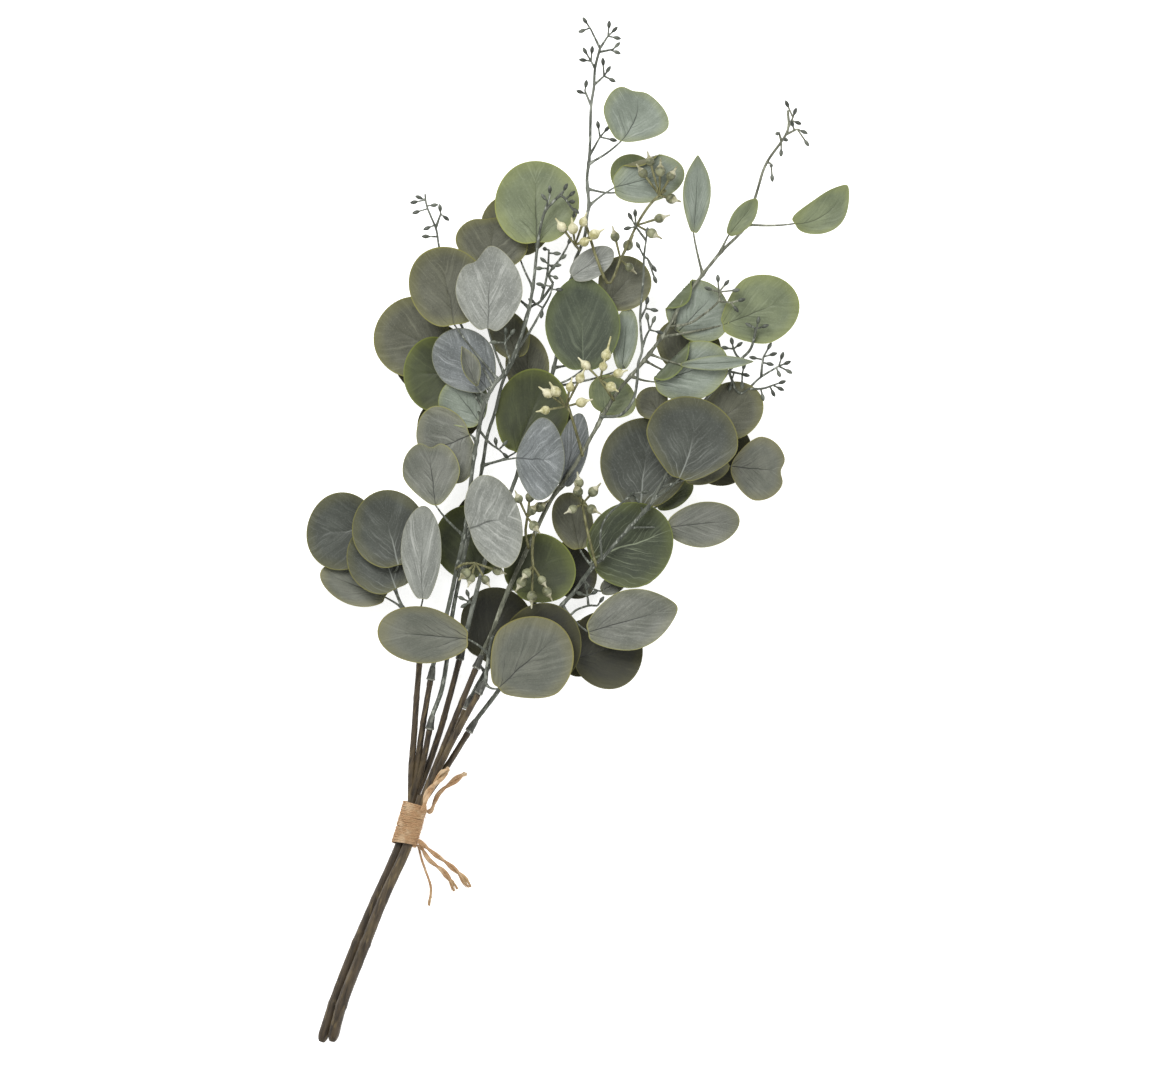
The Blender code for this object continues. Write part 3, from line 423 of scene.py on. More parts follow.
def rod(route, radii, sides, piece, ridge=0.0, ridges=5, knobble=0.0):
    """A ring drawn out along the route, in mm, and closed at both ends."""
    shape = new_shape()
    skin = shape.verts.layers.float_vector["skin"]
    last = len(route) - 1
    places = [spot(*p) for p in route]
    walked = 0.0
    for i, place in enumerate(places):
        way = (places[min(i + 1, last)] - places[max(i - 1, 0)]).normalized()
        size = Vector((radii[i], radii[i], radii[i])) * MM
        if i == 0:
            turn = Vector((0, 0, 1)).rotation_difference(way)
            now = Matrix.LocRotScale(place, turn, size)
            ring = bmesh.ops.create_circle(shape, cap_ends=True, segments=sides, radius=1.0,
                                           matrix=now)["verts"]
            edges = shape.edges[:]
        else:
            walked += (places[i] - places[i - 1]).length / MM
            turn = way_before.rotation_difference(way) @ turn
            now = Matrix.LocRotScale(place, turn, size)
            made = bmesh.ops.extrude_edge_only(shape, edges=edges)["geom"]
            ring = [g for g in made if isinstance(g, bmesh.types.BMVert)]
            edges = [g for g in made if isinstance(g, bmesh.types.BMEdge)]
            bmesh.ops.transform(shape, matrix=now @ back, verts=ring)
        back = now.inverted()
        for vert in ring:
            own = back @ vert.co
            vert[skin] = Vector((walked, math.atan2(own.y, own.x), piece))
        way_before = way
    bmesh.ops.edgeloop_fill(shape, edges=edges)
    if ridge or knobble:
        length = max(1e-6, route_length(route))
        for vert in shape.verts:
            walked, angle, _ = vert[skin]
            out = vert.co - places[min(last, round(walked / length * last))]
            grow = ridge * math.sin(ridges * angle + walked * 0.02 + piece)
            if knobble:
                grow += knobble * noise.noise(Vector((walked * 0.25, angle, piece * 5)))
            vert.co += out * grow
    bmesh.ops.recalc_face_normals(shape, faces=shape.faces)
    return shape


def spin_round(shape, line, steps):
    """Join points in a line and spin them once round +Z, closed at the seam and the poles."""
    edges = [shape.edges.new(pair) for pair in zip(line, line[1:])]
    bmesh.ops.spin(shape, geom=line + edges, cent=(0, 0, 0), axis=(0, 0, 1), angle=math.tau,
                   steps=steps, use_merge=True)
    bmesh.ops.remove_doubles(shape, verts=shape.verts, dist=0.0001)


def lathe(profile, sides, piece, lobes, lobe):
    """A shape spun round +Z from (radius, height) pairs, with shallow lobes round it."""
    shape = new_shape()
    skin = shape.verts.layers.float_vector["skin"]
    spin_round(shape, [shape.verts.new((r, 0.0, z)) for r, z in profile], sides)
    for vert in shape.verts:
        angle = math.atan2(vert.co.y, vert.co.x)
        vert[skin] = Vector((vert.co.z, angle, piece))
        swell = 1 + lobe * math.cos(lobes * angle)
        vert.co.x *= swell
        vert.co.y *= swell
    bmesh.ops.recalc_face_normals(shape, faces=shape.faces)
    return shape


def leaf_blank(rings, spokes):
    """A flat round blank of radius 1 that holds its own coordinates."""
    shape = new_shape()
    skin = shape.verts.layers.float_vector["skin"]
    line = [shape.verts.new(((k / rings) ** 0.85, 0.0, 0.0)) for k in range(rings + 1)]
    spin_round(shape, line, spokes)
    bmesh.ops.recalc_face_normals(shape, faces=shape.faces)
    for vert in shape.verts:
        vert[skin] = Vector((vert.co.x, vert.co.y, 0.0))
    return shape


FINE_BLANK = leaf_blank(18, 64)
HIDDEN_BLANK = leaf_blank(8, 40)


def fold_over(x, y, rise, line):
    """Turn what lies beyond a line back over the leaf, round a soft bend, in mm."""
    angle, far, radius, grow = line
    out_x = math.cos(math.radians(angle))
    out_y = math.sin(math.radians(angle))
    beyond = x * out_x + y * out_y - far
    if beyond <= 0:
        return x, y, rise
    beyond *= grow
    if beyond < math.pi * radius:
        new = radius * math.sin(beyond / radius)
        lift = radius * (1 - math.cos(beyond / radius))
    else:
        new = -(beyond - math.pi * radius)
        lift = 2 * radius + 0.12 * (beyond - math.pi * radius)
    now = x * out_x + y * out_y
    x += (far + new - now) * out_x
    y += (far + new - now) * out_y
    return x, y, rise + lift


def leaf(base, tip, width, looks, piece, roll=0.0, cup=2.0, wave=0.7, notch=0.08, slim=0.12,
         peak=0.0, skew=0.0, lobe=0.0, lobe_at=0.0, curl=0.0, ripple=0.5, crease=0.3, fold=None,
         hidden=False):
    """A leaf blade: two skins a blade apart with a rim round them, cupped, waved and creased."""
    along = (tip - base).normalized()
    half = (tip - base).length / 2
    side = along.cross(Vector((0, 0, 1))).normalized()
    face = side.cross(along)
    turn = Matrix.Rotation(math.radians(roll), 3, along)
    side = turn @ side
    face = turn @ face
    middle = (base + tip) / 2
    shape = (HIDDEN_BLANK if hidden else FINE_BLANK).copy()
    skin = shape.verts.layers.float_vector["skin"]
    upper = shape.faces[:]
    copy = bmesh.ops.duplicate(shape, geom=shape.verts[:] + shape.edges[:] + upper)["geom"]
    under = [g for g in copy if isinstance(g, bmesh.types.BMFace)]
    lower = {g for g in copy if isinstance(g, bmesh.types.BMVert)}
    bmesh.ops.reverse_faces(shape, faces=under)
    open_edges = [e for e in shape.edges if len(e.link_faces) == 1]
    rim = bmesh.ops.bridge_loops(shape, edges=open_edges)["faces"]
    for faces, index in ((upper, 0), (under, 1), (rim, 0)):
        for one in faces:
            one.material_index = index

    def sheet_point(x, y):
        reach = math.hypot(x, y)
        angle = math.atan2(y, x)
        low = max(0.0, -y)
        high = max(0.0, y)
        rise = cup * (reach * reach - 0.4) + wave * math.cos(3 * angle) * reach * reach
        rise += curl * x * x
        if crease:
            dip = math.exp(-((x / 0.05) ** 2)) * ease(-1.0, -0.8, y) * ease(0.85, 0.3, y)
            rise -= crease * dip
            rise += ripple * reach ** 3 * noise.noise(Vector((x * 1.8, y * 1.8, piece * 7.3)))
        grow = 1 + 0.02 * math.sin(2 * angle + piece * 5) + 0.014 * math.sin(3 * angle + piece * 11)
        wide = 1 - slim * low ** 1.5 - peak * high ** 3
        place_x = x * grow * wide + skew * (1 - y * y)
        place_y = y * grow
        place_y -= lobe * math.exp(-(((x - lobe_at) / 0.28) ** 2)) * high ** 2
        place_y += notch * math.exp(-((x / 0.3) ** 2)) * low ** 3
        place_x *= width / 2
        place_y *= half
        if fold:
            place_x, place_y, rise = fold_over(place_x, place_y, rise, fold)
        return middle + along * place_y + side * place_x + face * rise

    small = 0.02
    for vert in shape.verts:
        x, y, _ = vert[skin]
        place = sheet_point(x, y)
        if fold:
            tilt = (sheet_point(x + small, y) - place).cross(sheet_point(x, y + small) - place)
            normal = tilt.normalized()
        else:
            normal = face
        thick = BLADE / 2 * (1 - 0.35 * math.hypot(x, y) ** 6)
        place = place + normal * (-thick if vert in lower else thick)
        vert.co = spot(*place)
        vert[skin] = Vector((x, y, piece))
    return shape, [SKINS[looks[0]], SKINS[looks[1]]]


def in_order(place):
    """One number for a place, by which points and faces are put in the same order each run."""
    return place.x + 3.1 * place.y + 7.7 * place.z


class Piece:
    """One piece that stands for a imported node: shapes are added, then it is made."""

    def __init__(self, node):
        self.node = node
        self.whole = new_shape()
        self.skins = []

    def add(self, shape, skins):
        """Put a shape in; its own material numbers pick from the list of skins."""
        if not isinstance(skins, (list, tuple)):
            skins = [skins]
        for one in skins:
            if one not in self.skins:
                self.skins.append(one)
        for one in shape.faces:
            one.material_index = self.skins.index(skins[one.material_index])
            one.smooth = True
        mesh = bpy.data.meshes.new("part")
        shape.to_mesh(mesh)
        shape.free()
        self.whole.from_mesh(mesh)
        bpy.data.meshes.remove(mesh)

    def make(self):
        self.whole.verts.sort(key=lambda vert: in_order(vert.co))
        self.whole.faces.sort(key=lambda face: in_order(face.calc_center_median()))
        mesh = bpy.data.meshes.new(self.node + "_fine")
        self.whole.to_mesh(mesh)
        self.whole.free()
        for one in self.skins:
            mesh.materials.append(one)
        mesh.set_sharp_from_angle(angle=math.radians(SHARP))
        thing = bpy.data.objects.new(mesh.name, mesh)
        bpy.context.scene.collection.objects.link(thing)
        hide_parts(self.node)
        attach(thing, "root")
        return thing


# Free ends of the twine
def wrap_point(along, angle, out):
    """A place out from the binding's hole, which is oval because two stems fill it."""
    axis = Vector(WRAP_AXIS).normalized()
    across = axis.cross(Vector((0, 0, 1))).normalized()
    upward = across.cross(axis)
    tilt = math.radians(WRAP_TILT)
    long_way = across * math.cos(tilt) + upward * math.sin(tilt)
    short_way = upward * math.cos(tilt) - across * math.sin(tilt)
    place = Vector(WRAP_CENTRE) + axis * along
    place += long_way * (WRAP_HOLE_LONG + out) * math.cos(angle)
    return place + short_way * (WRAP_HOLE_SHORT + out) * math.sin(angle)


def beside(route, i):
    """Two directions square to the route at one of its points."""
    way = (route[min(i + 1, len(route) - 1)] - route[max(i - 1, 0)]).normalized()
    first = way.cross(Vector((0.1, 0.2, 1.0))).normalized()
    return first, way.cross(first)


def twisted(route, spread, phase):
    """The line of one ply that winds round the route, spread out by a function of its share."""
    line = []
    walked = 0.0
    for i, place in enumerate(route):
        if i:
            walked += (place - route[i - 1]).length
        first, second = beside(route, i)
        angle = phase + math.tau * walked / TWIST_LENGTH
        wide = spread(i / (len(route) - 1))
        line.append(place + first * wide * math.cos(angle) + second * wide * math.sin(angle))
    return line


def make_tail(name, turn, angle, points, radius, plies, frayed):
    """A free end of the twine: plies that open into loose fibres at the end."""
    crest = WRAP_LENGTH / 2 - (turn + 0.5) * WRAP_LENGTH / TURNS
    out = WRAP_TWINE + GAP * 2 + max(0.0, radius - TAIL_R)
    start = wrap_point(crest, math.radians(angle), out)
    clear = wrap_point(crest, math.radians(angle), out + 2.0)
    route = smooth_route([tuple(start), tuple(clear)] + points, 0.8)
    piece = Piece(name)
    strand = radius * 0.9
    cut = round(len(route) * (1 - frayed))

    def open_up(share):
        return radius * (0.62 + 0.6 * ease(0.4, 1.0, share)) if plies > 1 else 0.1

    for ply in range(plies):
        line = twisted(route, open_up, math.tau * ply / plies + turn)
        radii = []
        for i in range(len(line)):
            thin = ease(cut - 3, len(line) + 4, i)
            radii.append(strand * (1 + 0.25 * ease(0.5, 0.9, i / len(line)) - 0.6 * thin))
        radii[0] *= 0.7
        piece.add(rod(line, radii, 12, ply * 0.37 + turn, knobble=0.22), JUTE)
        # Each ply ends in a brush of fibres
        for k in range(FIBRES):
            begin = cut - 3 - k % 3
            fibre = []
            steps = list(range(begin, len(route) - 1, 2))
            for i in steps[:max(3, len(steps) - k % 4)] + [len(route) - 1] * (k % 4 == 0):
                share = (i - begin) / max(1, len(route) - begin)
                first, second = beside(route, i)
                swing = math.tau * k / FIBRES + ply * 0.5
                wide = radius * (0.4 + 1.35 * share) * (0.6 + 0.4 * math.sin(k * 2.4 + ply))
                wide += 0.5 * share * noise.noise(Vector((i * 0.2, k * 1.7, ply * 3.1 + turn)))
                fibre.append(line[i].lerp(route[i], 0.3 * share) + first * wide * math.cos(swing)
                             + second * wide * math.sin(swing))
            for place in fibre:
                place.z = max(place.z, 0.4)
            piece.add(rod(fibre, taper(fibre, 0.42, 0.16), 5, k * 0.21), JUTE_PALE)
    thing = piece.make()


make_tail("twine_tail_1", 7, -75, [(7.0, -22.0, 7.0), (9.6, -29.4, 5.0), (12.6, -39.0, 3.0),
                                   (11.4, -50.4, 1.2)], 0.8, 1, 0.2)
make_tail("twine_tail_2", 7, -45, [(12.0, -22.4, 11.5), (19.8, -29.0, 8.0), (24.6, -35.4, 4.5),
                                   (27.6, -40.8, 2.0)], TAIL_R, 2, 0.3)
make_tail("twine_tail_3", 6, -10, [(14.0, -17.6, 15.5), (23.4, -25.0, 10.0), (30.6, -31.8, 5.0),
                                   (36.0, -39.0, 2.0)], TAIL_R, 2, 0.3)
make_tail("twine_tail_4", 0, 20, [(11.0, 18.0, 21.5), (18.6, 27.6, 23.0), (23.4, 33.6, 25.0)],
          1.3, 2, 0.35)
make_tail("twine_tail_5", 0, -60, [(17.4, 17.4, 9.2), (25.8, 24.4, 7.0), (33.6, 29.8, 4.0)],
          TAIL_R, 2, 0.12)


# Binding: twine wound round both stems, three strands to a turn
def make_binding():
    """The winding as one line in TURNS turns, its strands side by side, and stray fibres."""
    piece = Piece("jute_binding")
    steps = TURNS * TURN_STEPS
    lap = WRAP_LENGTH / TURNS
    line = []
    for k in range(steps + 1):
        share = k / steps
        angle = share * TURNS * math.tau
        along = WRAP_LENGTH / 2 - share * WRAP_LENGTH
        along = max(-WRAP_LENGTH / 2 + lap / 2, min(WRAP_LENGTH / 2 - lap / 2, along))
        along += 0.9 * math.cos(angle) * ease(0.55, 0.95, share)
        along += 0.35 * noise.noise(Vector((share * 21, 0.3, 0.7)))
        line.append(wrap_point(along, angle, WRAP_TWINE * 0.55))
    axis = Vector(WRAP_AXIS).normalized()
    for strand in range(3):
        route = []
        for k, place in enumerate(line):
            way = (line[min(k + 1, steps)] - line[max(k - 1, 0)]).normalized()
            out = way.cross(axis).normalized()
            lay = (strand - 1) * 1.08
            lay += 0.25 * noise.noise(Vector((k * 0.11, strand * 2.3, 1.9)))
            lift = 0.22 * noise.noise(Vector((k * 0.13, strand * 3.7, 5.1)))
            route.append(place + axis * lay + out * lift)
        piece.add(rod(route, [STRAND_R] * len(route), 8, strand * 0.41 + 0.1, knobble=0.3), JUTE)
    # Stray fibres that stand off the winding
    for k in range(STRAYS):
        at = (k * 37) % (steps - 8) + 4
        place = line[at]
        way = (line[at + 1] - line[at - 1]).normalized()
        out = way.cross(axis).normalized()
        if out.dot(place - Vector(WRAP_CENTRE)) < 0:
            out = -out
        lean = axis * math.sin(k * 1.9)
        fibre = []
        for i in range(5):
            share = i / 4
            lift = 0.6 + 0.55 * math.sin(share * math.pi) + 0.35 * share * (k % 3 == 0)
            fibre.append(place + way * (share - 0.5) * 4.5 + out * lift + lean * share * 1.4)
        piece.add(rod(fibre, [0.05, 0.08, 0.08, 0.07, 0.03], 4, k * 0.1), JUTE_PALE)
    piece.make()


make_binding()


# Stems and the brown branches above the binding
def make_stem(node, main, branches, piece_number):
    """A stem with a rounded cut end and leaf rings, and the branches that fork from it."""
    piece = Piece(node)
    route = smooth_route(main, 1.6)
    route[0] = route[0].lerp(route[1], 0.15)
    count = len(route) - 1
    radii = []
    for i, place in enumerate(route):
        radius = STEM_R * (1 - 0.14 * i / count)
        for ring, swell in STEM_RINGS:
            radius += swell * math.exp(-((place.y - ring) / 1.5) ** 2)
        walked = (place - route[0]).length
        radius *= 0.42 + 0.58 * math.sqrt(min(1.0, (walked + 0.1) / 4.2))
        radii.append(radius)
    piece.add(rod(route, radii, 26, piece_number, ridge=0.018, ridges=6, knobble=0.045), STEM_BARK)
    for i, branch in enumerate(branches):
        fine = smooth_route([tuple(p) for p in branch], 2.0)
        radii = taper(fine, BRANCH_R, BRANCH_TIP_R)
        for k, place in enumerate(fine):
            near_end = (fine[-1] - place).length
            radii[k] += 0.30 * math.exp(-((near_end - 1.2) / 1.4) ** 2)
            radii[k] += 0.22 * math.exp(-((near_end - 21.0 - 5 * i) / 1.1) ** 2)
        piece.add(rod(fine, radii, 14, i * 0.3 + piece_number, ridge=0.02, ridges=4, knobble=0.07),
                  STEM_BARK)
    piece.make()


LEFT_MAIN = [(-53.4, -132.6, 3.8), (-44.6, -105.6, 4.0), (-33.0, -75.6, 4.3),
             (-21.4, -48.6, 5.0), (-6.2, -14.0, 6.4), (1.2, 11.4, 6.6), (2.4, 16.5, 6.8)]
RIGHT_MAIN = [(-46.9, -132.0, 8.0), (-40.6, -108.6, 9.9), (-28.9, -78.6, 11.0),
              (-15.8, -45.6, 11.3), (-1.4, -14.0, 11.9), (6.0, 11.4, 11.9), (7.4, 16.5, 12.0)]
# Above the binding each stem forks in four; the branches are numbered from left to right
BRANCHES = [smooth_route(points, 22) for points in (
    [(0.8, 10.0, 6.6), (0.0, 18.0, 6.8), (2.4, 49.2, 8.0), (3.6, 68.4, 10.0), (6.0, 96.6, 12.5)],
    [(1.0, 10.0, 6.6), (3.0, 20.0, 7.0), (7.2, 54.0, 10.0), (12.6, 85.8, 14.5)],
    [(1.0, 10.0, 6.6), (4.6, 20.0, 7.6), (10.8, 50.0, 12.5), (12.0, 56.0, 13.5)],
    [(1.0, 9.0, 6.6), (5.4, 19.0, 6.6), (15.6, 46.8, 7.5), (23.4, 73.2, 12.0), (30.0, 98.0, 15.0)],
    [(6.0, 10.0, 11.9), (10.4, 21.0, 13.0), (19.8, 43.8, 16.5), (28.2, 64.8, 19.0),
     (40.0, 93.0, 21.0)],
    [(6.0, 10.0, 11.9), (11.4, 20.0, 14.0), (24.6, 47.0, 21.5), (41.4, 77.8, 26.0)],
    [(6.0, 10.0, 11.9), (12.0, 21.0, 12.0), (26.6, 52.0, 11.0), (33.6, 68.0, 10.0)],
    [(6.0, 10.0, 11.9), (13.0, 20.0, 12.4), (31.8, 48.0, 14.0), (35.4, 54.6, 14.4)],
)]
make_stem("stem_left", LEFT_MAIN, BRANCHES[:4], 0.2)
make_stem("stem_right", RIGHT_MAIN, BRANCHES[4:], 0.7)


# Sprigs
def onward(branch, distance):
    """A point straight ahead of a branch's cut end."""
    end = branch[-1]
    return end + (end - branch[-2]).normalized() * distance


def aimed(shape, place, way):
    """Move a spun shape from the origin, in mm, to a place with its axis along a way."""
    turn = Vector((0, 0, 1)).rotation_difference(way)
    for vert in shape.verts:
        vert.co = spot(*(place + turn @ vert.co))
    return shape


class Sprig(Piece):
    """A twig with what grows on it, as one piece."""

    def __init__(self, node, bark=None):
        super().__init__(node)
        self.bark = bark or TWIG_GREY
        self.route = []
        self.twigs = []
        self.shoots = []
        self.joins = []
        self.count = 0

    def number(self):
        """A number that differs from piece to piece, the same in each run."""
        self.count += 1
        return (self.count * 0.618 + len(self.node) * 0.37) % 1.0

    def twig(self, points, start=TWIG_R, end=TWIG_TIP_R):
        route = smooth_route(points, 2.5)
        self.twigs.append((route, start, end))
        self.route += route

    def sleeve(self, start, toward):
        """The socket that pushes on the end of a brown branch, with its pale mouth."""
        start = Vector(start)
        way = (Vector(toward) - start).normalized()
        heights = (0.0, 0.5, 1.4, 2.6, 4.4, 6.2, 7.8, SLEEVE_LENGTH)
        widths = (0.86, 1.0, 1.02, 0.92, 0.88, 0.80, 0.72, 0.56)
        route = [start + way * h for h in heights]
        self.add(rod(route, [SLEEVE_R * w for w in widths], 16, self.number(), 0.03, 5, 0.08),
                 SLEEVE_GREY)
        mouth = [start + way * h for h in (0.1, 0.4, 1.0, 1.3)]
        self.add(rod(mouth, [SLEEVE_R * w for w in (0.96, 1.08, 1.07, 0.96)], 16, self.number(),
                     knobble=0.1), SLEEVE_RING)

    def stalk(self, base, root, along):
        """A leaf's stalk, from a little way up the blade to its thick foot on the twig."""
        if (root - base).length > 10:
            bend = base * 0.6 + root * 0.4 - along * 1.5
            points = [base + along * 2.5, base, bend, root]
        else:
            points = [base + along * 2.5, base, root]
        route = smooth_route([tuple(p) for p in points], 2.2)
        for place in route:
            place.z = max(place.z, PETIOLE_R + 0.05)
        radii = taper(route, PETIOLE_R * 0.55, PETIOLE_R)
        radii[-1] = PETIOLE_R * 1.7
        radii[-2] = PETIOLE_R * 1.3
        self.add(rod(route, radii, 8, self.number(), knobble=0.1), self.bark)
        self.joins.append(root)

    def blade(self, base, tip, width, heights, looks, join, **form):
        """A leaf and its stalk; heights are those of its base and tip, join is on the twig."""
        base = Vector((*base, heights[0]))
        tip = Vector((*tip, heights[1]))
        root = nearest(self.route, *join)
        along = (tip - base).normalized()
        foot = base + along * form.get("notch", 0.08) * (tip - base).length / 2
        self.stalk(foot, root, along)
        self.add(*leaf(base, tip, width, looks, self.number(), **form))

    def resting_blade(self, base, tip, width, join):
        """A leaf at the back that the bunch lies on."""
        self.blade(base, tip, width, (0.4, 0.4), SHADE, join, cup=0.0, wave=0.0,
                   ripple=0.0, crease=0.0, hidden=True)

    def seed(self, root, place):
        """A seed: a slim stalk and a bud with a blunt tip."""
        root = Vector(root)
        place = Vector(place)
        way = (place - root).normalized()
        self.add(rod([root, root.lerp(place, 0.5), place - way * SEED_LONG * 0.6],
                     [0.62, 0.54, 0.6], 6, self.number()), self.bark)
        size = SEED_R * SEED_SLIM
        bud = [(0.0, -SEED_LONG), (size * 0.5, -SEED_LONG * 0.86), (size * 0.9, -SEED_LONG * 0.35),
               (size, 0.1), (size * 0.86, SEED_LONG * 0.45), (size * 0.5, SEED_LONG * 0.84),
               (size * 0.24, SEED_LONG), (0.0, SEED_LONG * 1.08)]
        self.add(aimed(lathe(bud, 9, self.number(), 4, 0.05), place, way), SEED_GREEN)

    def spray(self, foot, points, seeds):
        """A side shoot with seeds; each hangs from a place on it a little way back."""
        route = smooth_route([tuple(nearest(self.route + self.shoots, *foot))] + points, 1.8)
        self.shoots += route
        self.add(rod(route, taper(route, SHOOT_R * 1.25, SHOOT_R * 0.85), 7, self.number(),
                     knobble=0.15), self.bark)
        for place in seeds:
            root = min(route, key=lambda p: abs((p - Vector(place)).length - 4.2))
            self.seed(root, place)

    def nuts(self, hub, places, skins, spikes):
        """Gum nuts on their stalks from one hub, each a ribbed cup with a spiked cap."""
        fork = nearest(self.route, *hub)
        for i, place in enumerate(places):
            spike = (spikes[i] if spikes else SPIKE) / NUT_R
            place = Vector(place)
            way = (place - fork).normalized()
            size = NUT_R * (0.93 + 0.09 * math.sin(i * 2.1))
            middle = fork.lerp(place, 0.5) + Vector((0, 0, 0.5))
            stalk = smooth_route([tuple(fork), tuple(middle), tuple(place - way * size * 0.9)], 1.5)
            self.add(rod(stalk, taper(stalk, 0.6, 0.8), 8, self.number()), self.bark)
            cup = [(0.0, -1.08), (0.26, -1.04), (0.56, -0.86), (0.85, -0.5), (0.98, -0.1),
                   (0.99, 0.2), (0.9, 0.5), (0.77, 0.68), (0.70, 0.73), (0.0, 0.75)]
            cap = [(0.0, 0.6), (0.66, 0.66), (0.7, 0.78), (0.6, 0.92), (0.42, 1.1), (0.3, 1.28),
                   (0.23, 1.5), (0.14, 1.0 + spike * 0.92), (0.0, 1.0 + spike)]
            for profile, look in zip((cup, cap), skins):
                sized = [(r * size, h * size) for r, h in profile]
                self.add(aimed(lathe(sized, 20, self.number(), 5, 0.03), place, way), look)

    def finish(self):
        """The twigs come last, thicker where a leaf's stalk joins them."""
        for route, start, end in self.twigs:
            radii = taper(route, start, end)
            for k, place in enumerate(route):
                close = min(((place - j).length for j in self.joins), default=99.0)
                radii[k] += 0.38 * math.exp(-((close / 1.9) ** 2))
            self.add(rod(route, radii, 12, self.number(), ridge=0.03, ridges=3, knobble=0.12),
                     self.bark)
        self.make()


def perch(sprig, x, y):
    """Where a spray leaves a twig: in its bark, then up and clear of it."""
    foot = nearest(sprig.route, x, y)
    return [tuple(foot), (foot.x, foot.y, foot.z + 4.25)]


def start_sprig(node, branch, points, bark=None):
    """A sprig that pushes on a branch's end and carries on in its direction."""
    sprig = Sprig(node, bark)
    first = onward(branch, GAP)
    second = onward(branch, 9.0)
    sprig.twig([tuple(first), tuple(second)] + points)
    sprig.sleeve(first, second)
    return sprig


# Low left sprig
left = start_sprig("sprig_low_left", BRANCHES[0], [(2, 122, 14), (-4.8, 131, 14.2),
    (-12, 150, 14.5)])
left.blade((-18.6, 176.4), (-62.2, 174.6), 47, (13, 9), DUSK, (-12, 150), slim=0)
left.blade((-6, 153.6), (-17.4, 199.2), 46, (23, 22), DUSK, (-12, 150), slim=0.05)
left.blade((-7.2, 139.2), (-23.4, 181.2), 45, (18.6, 17.6), DUSK, (-8, 140), slim=0.05)
left.blade((-12.6, 135), (-54, 151.2), 24, (9, 8), RIMMED, (-3, 129), roll=15, cup=1)
left.blade((8.4, 133.2), (9.6, 191.4), 25, (27, 28), MIST, (3, 118), roll=-10, slim=0.3, skew=-0.12,
    peak=0.2)
left.blade((-10, 158), (-44, 166), 40, (4, 3.5), SHADE, (-12, 150), cup=1, hidden=True)
left.finish()

# Left sprig, with the seed sprays at its tips
tall = start_sprig("sprig_left", BRANCHES[1], [(23.4, 129.6, 20), (28.8, 154.2, 24),
    (34.2, 178.2, 28), (36.6, 200.4, 30), (40.2, 226.2, 31), (45.6, 252, 32.5), (52.2, 264.6, 33),
    (57.6, 270.6, 33), (64.2, 284.4, 33), (70.2, 300.6, 33), (74.4, 321.6, 32.5), (77.4, 348.6, 32),
    (81, 365.4, 35), (86.4, 372.6, 36), (92.4, 378.6, 36)])
tall.blade((76.8, 346), (76.2, 398), 50, (30, 25), ("meadow", "grey"), (77, 346), slim=0.05)
tall.blade((47.4, 332.4), (52.2, 364.8), 43, (23, 20), OLIVE, (72, 310), lobe=0.12, lobe_at=-0.3)
tall.blade((27.6, 297.6), (18.6, 346.2), 46, (31, 28), OLIVE, (52.8, 266.5), slim=0)
tall.blade((47.4, 293.4), (49.2, 345.6), 41, (38, 36), MIST, (57, 271), notch=0.14, slim=0.35,
    lobe=0.3, lobe_at=-0.55, peak=0.25)
tall.blade((23.4, 283.2), (-19.8, 301.2), 48, (16.5, 13), OLIVE, (44.8, 248.5), slim=0)
tall.blade((31.8, 270), (-3.6, 270.6), 44, (21, 19.5), GREEN, (46, 254), slim=0)
tall.blade((48, 259.8), (20.4, 294.6), 36, (30, 27), BLUE, (49, 259), slim=0.3)
tall.blade((40.8, 261.6), (31.8, 285.6), 14, (39, 41.5), GREY, (47, 256), roll=45, cup=1, curl=1.4,
    peak=0.5, slim=0.4)
tall.blade((43.2, 240), (23.4, 265.2), 31, (26.5, 26), TEAL, (42, 236), slim=0.3)
tall.blade((38.4, 234), (6.6, 221), 48, (28, 26), GREY, (40, 230), lobe=0.1)
tall.blade((16.2, 190.8), (11.4, 230.4), 34, (34, 35), GREY, (32.4, 172), notch=0.02, slim=0.45,
    lobe=0.22, lobe_at=0.1)
tall.blade((35.4, 177), (66.6, 186.5), 58, (34, 38), MIST, (34.4, 180), cup=3)
tall.blade((66, 340), (64, 380), 44, (16, 14), OLIVE, (74.4, 321), hidden=True)
tall.blade((30, 228), (18, 257), 40, (12, 10), SHADE, (39, 221), hidden=True)
tall.resting_blade((33, 262), (-5.4, 297), 44, (43.4, 243))
tall.spray((86.4, 372.6), [(92, 376, 37), (99, 367, 38)], [(100.2, 367.2, 38), (97.8, 372.6, 40),
    (99, 364.8, 34), (94, 381.5, 37), (97.8, 377.5, 37)])
tall.spray((81, 365.4), [(84.5, 376, 37)], [(84.5, 380, 38), (81, 375.5, 37)])
tall.spray((50, 262), [(40, 282, 26), (24.6, 315, 23), (18, 346.2, 22), (16.2, 357, 22),
    (10.8, 370.2, 23), (9.6, 378, 24)], [(10.8, 357.6, 23), (15, 371.4, 24), (3, 373.2, 23),
    (6, 376, 24), (10, 352.6, 23), (4.2, 367.2, 23)])
tall.spray((16.2, 357), [(19, 366, 24)], [(18.6, 369.6, 25), (22.2, 363.6, 24)])
tall.spray((57.6, 270.6), [(60.5, 277, 35), (58.6, 283.7, 36), (57.8, 288.5, 37)],
    [(58.1, 295.2, 38), (62.2, 294.6, 38), (50.9, 288.6, 37)])
tall.spray((42, 236), [(48, 229, 28), (54, 224.6, 27)], [(57.6, 228.4, 27), (52, 229.6, 27),
    (58, 221, 27)])
tall.finish()

